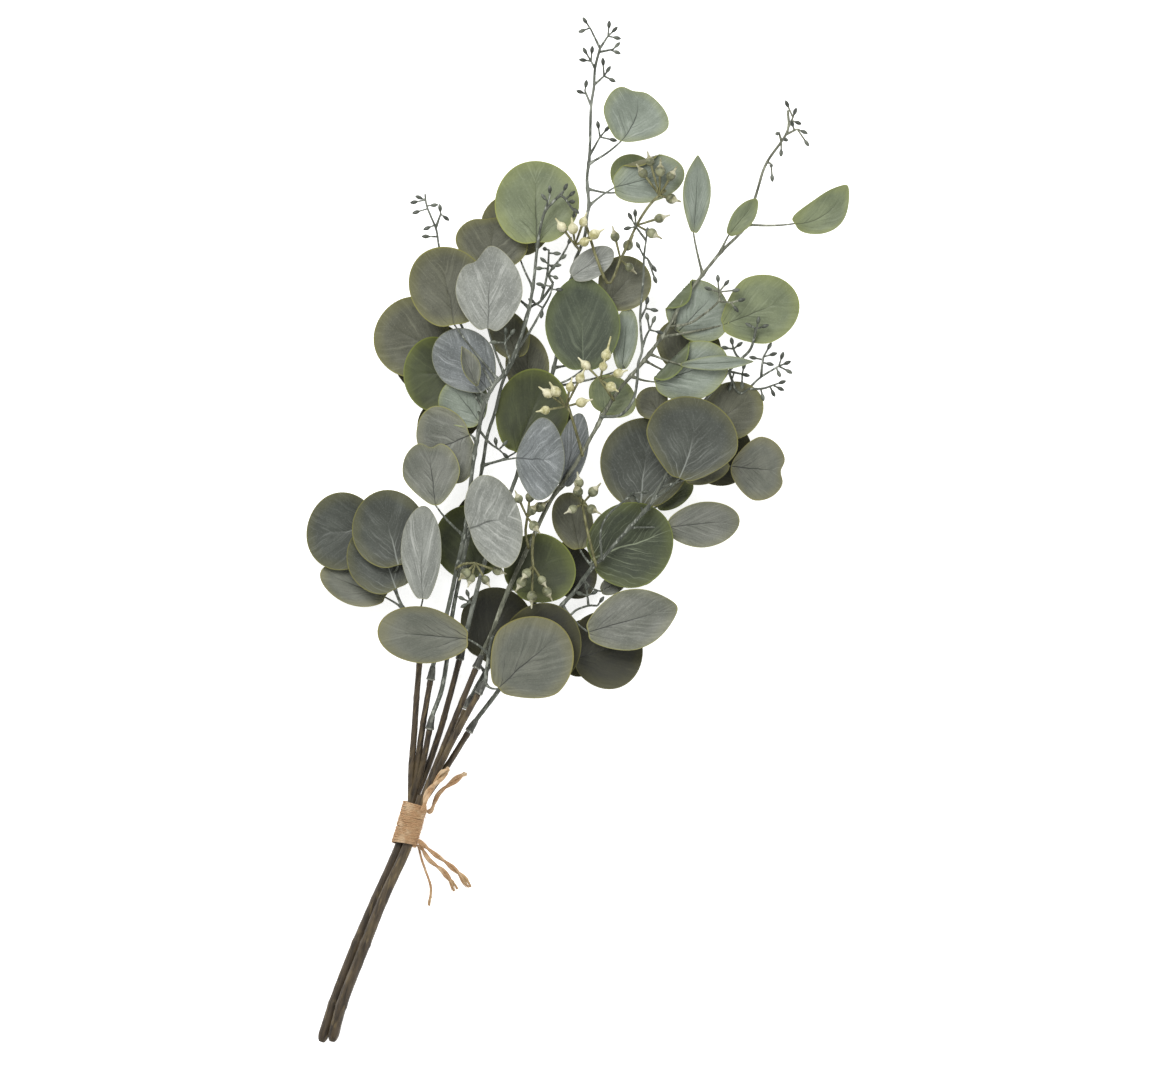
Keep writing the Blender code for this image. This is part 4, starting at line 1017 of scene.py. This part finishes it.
# Middle sprig
mid = start_sprig("sprig_middle", BRANCHES[2], [(19.2, 79.8, 15.5), (22.8, 100.2, 16),
    (26.4, 129, 16.5), (36, 175, 18), (43.8, 213.6, 20.5), (46.8, 232.2, 22), (51.6, 247.2, 23),
    (56.4, 265.8, 24), (64.8, 283.2, 25), (71.4, 307.8, 26), (78.6, 313.2, 27), (86.4, 324, 28)])
mid.blade((66, 279), (54.6, 307.2), 24, (22, 19), OLIVE, (64, 282))
mid.blade((41.4, 146.4), (31.8, 191.4), 44, (8.8, 8.2), GREEN, (32, 155))
mid.blade((64, 219.4), (93.6, 217.8), 49, (40, 41), BLUE, (44, 214), cup=1.5, slim=0.35, notch=0,
    peak=0.1)
mid.blade((63.6, 221.4), (83.4, 271.8), 44, (21, 20), GREEN, (44, 216))
mid.blade((43, 158), (50, 200), 42, (3.2, 3), SHADE, (32, 155), cup=1, hidden=True)
mid.spray((78.6, 313.2), [(83, 330, 31), (84, 344, 33)], [(89, 335, 32), (88, 327.5, 36),
    (81.6, 344.5, 38), (88.8, 342, 32), (80.5, 322, 34), (78, 333, 34)])
mid.spray((64.8, 283.2), [(74, 298, 28), (80, 309, 29), (84.5, 317, 30), (86.5, 324, 30)],
    [(73.6, 313.8, 28), (79.6, 305.6, 29), (90, 320.4, 31), (78.6, 323.6, 30)])
mid.spray((86.5, 324), [(84, 330, 31), (90.2, 338.2, 32), (94.6, 345.5, 33)], [(86.6, 333.6, 33),
    (92.8, 339.9, 34), (80.6, 338, 33), (96.4, 349.6, 33)])
mid.finish()

# Tall middle sprig, up to the top
top = start_sprig("sprig_top", BRANCHES[3], [(45.6, 158.4, 13), (63.6, 206.4, 13),
    (81.6, 254.4, 13.5), (91.8, 296.4, 15.5), (99, 335.4, 18), (102, 343.8, 19), (105.6, 353.4, 20),
    (106.8, 365.4, 21), (108, 372, 21.5), (106.8, 387, 22), (108, 397.8, 22.5), (108.6, 408.6, 23),
    (109.2, 430.2, 24), (111, 442.8, 24), (111.6, 453.6, 24), (114.6, 465.6, 24)])
top.blade((104.4, 270.6), (103.8, 328.2), 46, (22.5, 24), FOREST, (85, 262), peak=0.25, slim=0.15)
top.blade((127.8, 271.8), (131.4, 310.2), 15, (19, 19), TEAL, (85, 262), cup=1)
top.blade((96.6, 327.6), (122.4, 344.4), 17, (26.5, 28), MIST, (97, 324), cup=1)
top.blade((117.6, 311.4), (140.4, 337.2), 32, (20, 18), OLIVE, (97, 324))
top.blade((127.2, 409.2), (136.8, 441), 41, (30, 32), ("teal", "olive"), (109.2, 397.2), notch=0.02,
    slim=0.45, lobe=0.15, lobe_at=-0.1, skew=0.2)
top.blade((121.8, 381.6), (164.4, 392.4), 29, (25, 26), ("teal", "olive"), (108, 372), slim=0.1,
    cup=1, wave=0.3, fold=(183, 11, 0.9, 1.6))
top.blade((72.6, 255.6), (69, 295.2), 26, (13, 12), OLIVE, (82, 255))
top.blade((112, 280), (104, 318), 38, (7, 6), SHADE, (88, 275), hidden=True)
top.blade((72, 225), (85, 262), 40, (5, 5), SHADE, (66, 212), hidden=True)
top.blade((127, 379), (141, 400), 28, (15, 16), MEADOW, (107, 380), hidden=True)
top.spray((38.5, 131), [(36.6, 133, 17)], [(35, 138.4, 19), (31.4, 135.4, 19), (32.9, 131, 18)])
top.spray((109.2, 400.2), [(114.6, 412.2, 25)], [(113.4, 419.4, 26), (118.8, 417, 26),
    (122.4, 410.4, 25)])
top.spray((108.6, 432), [(105.6, 439.8, 25)], [(106.2, 444, 26), (102.6, 439.2, 26)])
top.spray((111.6, 442.2), [(117, 448.8, 25)], [(116.4, 457.2, 26), (119.6, 452.6, 26),
    (121.8, 446.4, 25)])
top.spray((111, 454.2), [(109.2, 457.8, 24)], [(105.6, 463.8, 25), (109.8, 464.4, 25),
    (104.4, 458.4, 24)])
top.spray((114.6, 465.6), [(108.6, 477.6, 25)], [(105.6, 482, 25), (103.8, 475.8, 26)])
top.spray((114.6, 465.6), [(119.4, 472.8, 24)], [(120, 479.6, 25), (123.4, 476.6, 25),
    (124.8, 471.6, 25)])
top.spray((114.6, 464), [(122.4, 465, 23)], [(125, 467.6, 22), (124.8, 463.2, 22)])
top.finish()

# Long right sprig
long = start_sprig("sprig_right_top", BRANCHES[4], [(50.4, 116.4, 24), (55.2, 129.6, 25),
    (61.2, 144, 26), (73.8, 171, 27.5), (85.2, 194.4, 28.5), (99.6, 215.4, 29.5), (111, 235.2, 30),
    (124.8, 258.6, 29.5), (141, 277.8, 28.5), (155.4, 297.6, 28), (163.8, 313.2, 28),
    (172.8, 325.2, 27.5), (186.6, 342.6, 26.5), (201.6, 358.2, 25.5), (208.2, 377.4, 24.5),
    (214.2, 396, 24), (226.8, 415.2, 23.5), (227.4, 428.4, 23)], TWIG_PALE)
long.blade((61.8, 139.2), (94.2, 166.8), 44, (22, 21), GREEN, (60, 141))
long.blade((92.4, 200.4), (102.6, 246.6), 19, (27, 28), BLUE, (88, 199), roll=20, cup=1)
long.blade((170.4, 353), (173, 401.4), 17, (30, 33), ("teal", "meadow"), (175.8, 331), roll=20,
    cup=1, peak=0.6, slim=0.3, skew=0.1)
long.blade((191.4, 352.8), (208.8, 374.4), 13, (26, 29), MEADOW, (188, 344), cup=1, peak=0.3,
    slim=0.3)
long.blade((230.4, 359.4), (262.8, 382.8), 22, (24, 25), MEADOW, (202.8, 359), peak=0.45, slim=0,
    skew=0.55)
long.blade((160.2, 294), (186, 320.8), 40, (25, 26), TEAL, (159, 304), cup=1, wave=0.3,
    fold=(182, 14, 1.4, 1.7))
long.blade((186, 298.4), (233.4, 317.4), 41, (26, 24), MEADOW, (152.5, 291), slim=0.5)
long.blade((145.8, 264.6), (191.4, 278.4), 35, (30, 31), TEAL, (133, 268), cup=1, wave=0.3,
    fold=(208, 11.5, 1.2, 1.7))
long.blade((161.4, 275.4), (205.8, 277.2), 9, (35, 36), ("teal", "meadow"), (144, 281), cup=0.6,
    peak=0.6, slim=0.5)
long.blade((114.6, 246), (129, 266.4), 30, (24, 22), MEADOW, (113, 239))
long.blade((160, 270), (176, 302), 40, (15, 13), OLIVE, (141, 278), hidden=True)
long.spray((223.8, 410), [(222, 415, 25)], [(220.8, 414, 29), (223.2, 402.6, 26),
    (225.8, 410.4, 28)])
long.spray((226.8, 418), [(230.4, 424, 24)], [(226.8, 432, 25), (231.6, 427.4, 25),
    (233.4, 420.6, 26)])
long.spray((226.8, 413), [(233, 417, 24)], [(237, 415.2, 25), (238.6, 408.6, 25), (229.8, 420, 27)])
long.spray((214.8, 397.2), [(217.2, 396, 26)], [(217.2, 394.8, 30), (217.8, 387.6, 27)])
long.spray((156, 297), [(167.4, 300, 30), (176.4, 305.4, 31), (185.4, 313.2, 31), (185.8, 319, 31)],
    [(185.2, 327, 31), (190.4, 324.4, 32), (179.4, 321, 31), (195.9, 320, 32)])
long.spray((185.4, 313.2), [(193, 312.6, 31)], [(199.4, 314.3, 31), (196, 308.8, 31)])
long.finish()

# Lower front sprig with its broad pale leaves
low = start_sprig("sprig_low_front", BRANCHES[5], [(46.6, 92, 28), (48, 102, 29), (50, 112, 29.5)])
low.blade((37.2, 111), (-19.2, 115.8), 34, (31, 31), RIMMED, (48, 102), slim=0.2)
low.blade((51.6, 79.8), (93, 117.4), 51, (32, 35), RIMMED, (45, 86), slim=0.55)
low.blade((55, 110.4), (103.8, 104.4), 50, (26, 26), SHADE, (50, 112), slim=0)
low.finish()

# Inner sprig, behind
inner = start_sprig("sprig_inner", BRANCHES[6], [(48.6, 95.4, 9.5), (66, 118, 9), (80, 140, 9),
    (90, 158, 10)])
inner.blade((41, 98), (62.8, 139.4), 44, (7, 6.2), SHADE, (45, 90))
inner.blade((90, 109), (118, 102), 36, (6, 5), SHADE, (60, 111), hidden=True)
inner.resting_blade((57, 101.4), (89, 112), 42, (50, 98))
inner.blade((84, 144), (110, 160), 36, (7, 6), SHADE, (82, 143), hidden=True)
inner.finish()

# Right sprig
right = start_sprig("sprig_right", BRANCHES[7], [(52.2, 78, 16), (87.6, 126, 19), (99, 139.2, 22),
    (109.2, 153, 25), (117.6, 161.4, 26.5), (130.8, 176.4, 28), (143.4, 190.2, 28.5),
    (149.4, 200.4, 28.5), (154.2, 209.4, 28), (165, 238, 25), (178.2, 255, 24), (186.6, 264.6, 23),
    (192, 271.8, 22.5), (199.2, 279, 22.5), (204.6, 284.4, 25), (207, 291.6, 28.5),
    (207.8, 297, 29.5)])
right.blade((102.6, 163.8), (94.2, 199.2), 24, (17, 16), OLIVE, (110, 154))
right.blade((107.5, 158.5), (157.2, 176.4), 52, (21.6, 21.6), FAN, (110, 154), slim=0.1)
right.blade((138.6, 189), (144.6, 244.2), 54, (20, 19), DUSK, (140, 187), slim=0.05)
right.blade((147.6, 189.6), (170.4, 204.6), 14, (15, 15), GREEN, (142, 188), cup=1)
right.blade((161.4, 205.2), (172.8, 256.2), 55, (35, 34), DUSK, (147, 196), cup=3, slim=0.45,
    skew=0.1)
right.blade((165, 206.4), (192, 214.8), 13, (29, 29), OLIVE, (150, 201), cup=1)
right.blade((178.2, 236.4), (209.4, 259.2), 35, (20, 19), OLIVE, (165, 238))
right.blade((151.8, 244.8), (139.8, 260.4), 20, (25, 24), OLIVE, (165, 238), cup=1)
right.blade((192.6, 214.8), (226.8, 211.2), 38, (23, 21), RIMMED, (154, 209), notch=0.02, slim=0.4,
    lobe=0.2, lobe_at=0)
right.blade((154.2, 178.2), (198.6, 181.8), 28, (19, 18), GREY, (133, 178), roll=15)
right.blade((105.6, 114.6), (160.2, 130.2), 37, (27, 28), GREY, (92, 131), slim=0.35, peak=0.4)
right.blade((96.6, 98.4), (139.8, 110.4), 47, (17, 16), SHADE, (80, 117), slim=0)
right.blade((114.6, 139.2), (130.2, 147.6), 11, (15, 15), GREY, (104, 146), cup=0.6)
right.blade((120, 156), (150, 168), 40, (9, 8), SHADE, (116, 160), hidden=True)
right.resting_blade((170, 212.4), (203, 234), 42, (157, 216))
right.spray((192, 271.8), [(198.6, 258.5, 20), (211.2, 268.2, 20), (222, 274.8, 21)],
    [(224, 281, 22), (227, 276.8, 22), (228, 271.6, 22), (222, 270.2, 23)])
right.spray((211.2, 268.2), [(212, 275, 21), (212.8, 280.4, 22)], [(206.6, 279.8, 22),
    (216.6, 276, 22), (218.6, 282, 23), (216.4, 286.8, 23)])
right.spray((203.6, 261), [(212.5, 261.4, 21), (218.4, 263.4, 21)], [(224, 265.2, 22),
    (223, 261.2, 22), (218.6, 258.6, 22), (212.4, 256.2, 20)])
right.spray((207, 291.6), [(208.3, 297, 30)], [(209.4, 302, 31), (203.8, 299.2, 31),
    (213.4, 298.6, 31)])
right.spray((186.6, 264.6), [(177, 267, 22)], [(175.2, 267, 21), (180.6, 270.6, 23)])
right.spray((199.2, 279), [(196, 282, 25), (194.6, 285, 27)], [(193.6, 289.6, 29),
    (198.2, 287.6, 29), (189.4, 285.6, 28)])
right.spray((192, 271.8), [(200, 270, 23)], [(202.2, 269.4, 24), (201, 274.8, 24),
    (199.8, 263.4, 24), (192.6, 262, 22)])
right.spray((90, 122), [(95, 124.4, 24), (100.6, 128.6, 26), (107.5, 131, 27), (113, 131, 27)],
    [(115.6, 134.6, 28)])
right.spray((107.5, 131), [(107, 137, 29)], [(106.4, 142.4, 29), (102.2, 138.4, 29),
    (111.2, 139, 30)])
right.finish()

# Dark seed spray on the long right sprig
dark = Sprig("seed_spray_dark")
dark.twig(perch(long, 117.6, 243) + [(127.2, 245.4, 34), (134.4, 254.4, 35.5), (136.8, 265.8, 36),
    (137.4, 276, 36), (139.8, 284.4, 36), (138.6, 303.6, 34.5), (140.4, 325.2, 33),
    (141, 340.8, 32), (142.2, 349.8, 32)], start=1, end=0.6)
dark.spray((142.2, 349.8), [(136, 358, 33)], [(132.6, 364.2, 34), (135.6, 366, 34), (131, 357, 34)])
dark.spray((141, 340.8), [(143, 339, 33)], [(137.4, 346.8, 33), (147, 333, 33), (147.6, 326.4, 33),
    (142.8, 355.2, 34)])
dark.spray((139.6, 286), [(142.2, 292.4, 36), (144.2, 296.2, 36)], [(142.8, 304, 36),
    (146.8, 302.2, 36), (150.2, 294.6, 36)])
dark.spray((138.6, 303.6), [(142, 309, 35)], [(142.8, 313.6, 35), (147, 308, 35)])
dark.finish()

# Seed spray that crosses the pale right leaf
arc = Sprig("seed_spray_arc")
arc.twig(perch(right, 116, 160) + [(115, 176, 33), (120, 186, 33), (129.6, 194.4, 33)], start=0.8,
    end=0.6)
arc.spray((129.6, 194.4), [(133.8, 198, 33)], [(133.8, 198, 36), (141.6, 199.2, 34),
    (136.8, 194.4, 35)])
arc.finish()


# Gum nut sprays
CREAM_NUT = (NUT_CREAM, NUT_CREAM)
OLIVE_NUT = (NUT_OLIVE, NUT_TIP)


def nut_spray(node, skins, perch_at, points, clusters):
    spray = Sprig(node, TWIG_OLIVE)
    spray.twig(perch(*perch_at) + points, start=0.9, end=0.8)
    for hub, places, *spikes in clusters:
        spray.nuts(hub, places, skins, spikes[0] if spikes else None)
    spray.finish()


nut_spray("gum_nuts_cream_top", CREAM_NUT, (top, 102, 343.8), [(99.6, 347, 33)], [((99.6, 347),
    [(91.8, 357.6, 37), (98.4, 356.4, 38), (104.5, 360.6, 35), (105, 348.6, 38),
    (111, 353.2, 36)])])
nut_spray("gum_nuts_olive_top", OLIVE_NUT, (top, 106.8, 360), [(108.5, 352, 29.5), (113, 338, 31.5),
    (120, 324, 30.5), (127.2, 339, 30.5), (136.8, 359.4, 31), (144.6, 371.4, 32), (154, 380, 33)],
    [((150, 376.5), [(140.4, 390, 33), (150.6, 391.2, 34), (144.6, 397, 33), (157, 388, 36),
    (157, 374.5, 37)]), ((136.8, 359.4), [(150, 363, 33), (145.5, 354, 34)]), ((127.2, 339),
    [(123.6, 352, 33), (131.4, 347, 28), (132, 334, 29)])])
nut_spray("gum_nuts_cream_middle", CREAM_NUT, (long, 104, 223), [(97, 246, 37.5),
    (94.2, 250.2, 38)], [((94.2, 250.2), [(83.4, 258, 40), (88.2, 259, 42), (96.6, 261.6, 41),
    (102.6, 267, 40), (103.2, 252.6, 40), (82, 248, 43)])])
nut_spray("gum_nuts_olive_middle", CREAM_NUT, (long, 122, 254), [(114.6, 266.4, 35)],
    [((114.6, 266.4), [(106.2, 274.8, 36), (118.2, 280.8, 37), (116.4, 274, 41), (125.4, 270, 41),
    (121, 262, 42)], [4.5, 9, 4.5, 4.5, 4.5])])
nut_spray("gum_nuts_olive_low", OLIVE_NUT, (long, 75, 173), [(74, 164, 33), (74.4, 155, 34)],
    [((74.4, 155), [(70.8, 150.6, 37), (67.8, 145.2, 34), (79.8, 146.4, 35), (82.8, 139.8, 34),
    (73.8, 136.8, 34)])])
nut_spray("gum_nuts_olive_left", OLIVE_NUT, (long, 71, 166), [(70, 175, 34), (71, 184, 35)],
    [((71, 184), [(73.8, 188, 38), (75, 179, 39), (66, 195, 41), (72.6, 196, 37),
    (78.5, 190, 36)])])
nut_spray("gum_nuts_olive_shade", OLIVE_NUT, (tall, 28.8, 154.2), [(33, 156, 31),
    (40, 156.5, 31.5)], [((40, 156.5), [(37.2, 147.6, 32), (34.2, 150.6, 34), (46, 146.6, 32),
    (53, 152, 31)], [3.5] * 4)])
nut_spray("gum_nuts_olive_right", OLIVE_NUT, (right, 112, 157), [(107, 176, 30), (104, 192, 30.5)],
    [((104, 192), [(102, 204.6, 33), (101.4, 199.2, 35), (98.4, 189, 32), (109.5, 189, 33),
    (110.4, 199.2, 33)])])


# Floor and light
def make_floor():
    shape = bmesh.new()
    bmesh.ops.create_grid(shape, x_segments=2, y_segments=2, size=6.0)
    bmesh.ops.translate(shape, verts=shape.verts, vec=(0.0, 0.0, -0.0004))
    mesh = bpy.data.meshes.new("floor")
    shape.to_mesh(mesh)
    shape.free()
    pale = bpy.data.materials.new("floor_pale")
    pale.use_nodes = True
    shader = pale.node_tree.nodes["Principled BSDF"]
    shader.inputs["Base Color"].default_value = (0.9, 0.9, 0.9, 1.0)
    shader.inputs["Roughness"].default_value = 0.95
    shader.inputs["Specular IOR Level"].default_value = 0.0
    shader.inputs["Emission Color"].default_value = (1.0, 1.0, 1.0, 1.0)
    shader.inputs["Emission Strength"].default_value = 0.7
    mesh.materials.append(pale)
    floor = bpy.data.objects.new("floor", mesh)
    bpy.context.scene.collection.objects.link(floor)


def soft_light(name, place, size, power):
    """A large square light that faces the bunch."""
    light = bpy.data.lights.new(name, "AREA")
    light.shape = "SQUARE"
    light.size = size
    light.energy = power
    thing = bpy.data.objects.new(name, light)
    bpy.context.scene.collection.objects.link(thing)
    thing.location = place
    thing.rotation_euler = (Vector((0, 0, 0)) - Vector(place)).to_track_quat("-Z", "Y").to_euler()


make_floor()
soft_light("key_light", (-0.9, 0.9, 1.5), 1.1, 32.0)
soft_light("fill_light", (1.2, -0.3, 1.3), 1.6, 12.0)
world = bpy.data.worlds.new("studio")
world.use_nodes = True
world.node_tree.nodes["Background"].inputs["Color"].default_value = (1.0, 1.0, 1.0, 1.0)
world.node_tree.nodes["Background"].inputs["Strength"].default_value = 0.48
bpy.context.scene.world = world
bpy.context.scene.view_settings.view_transform = "Standard"
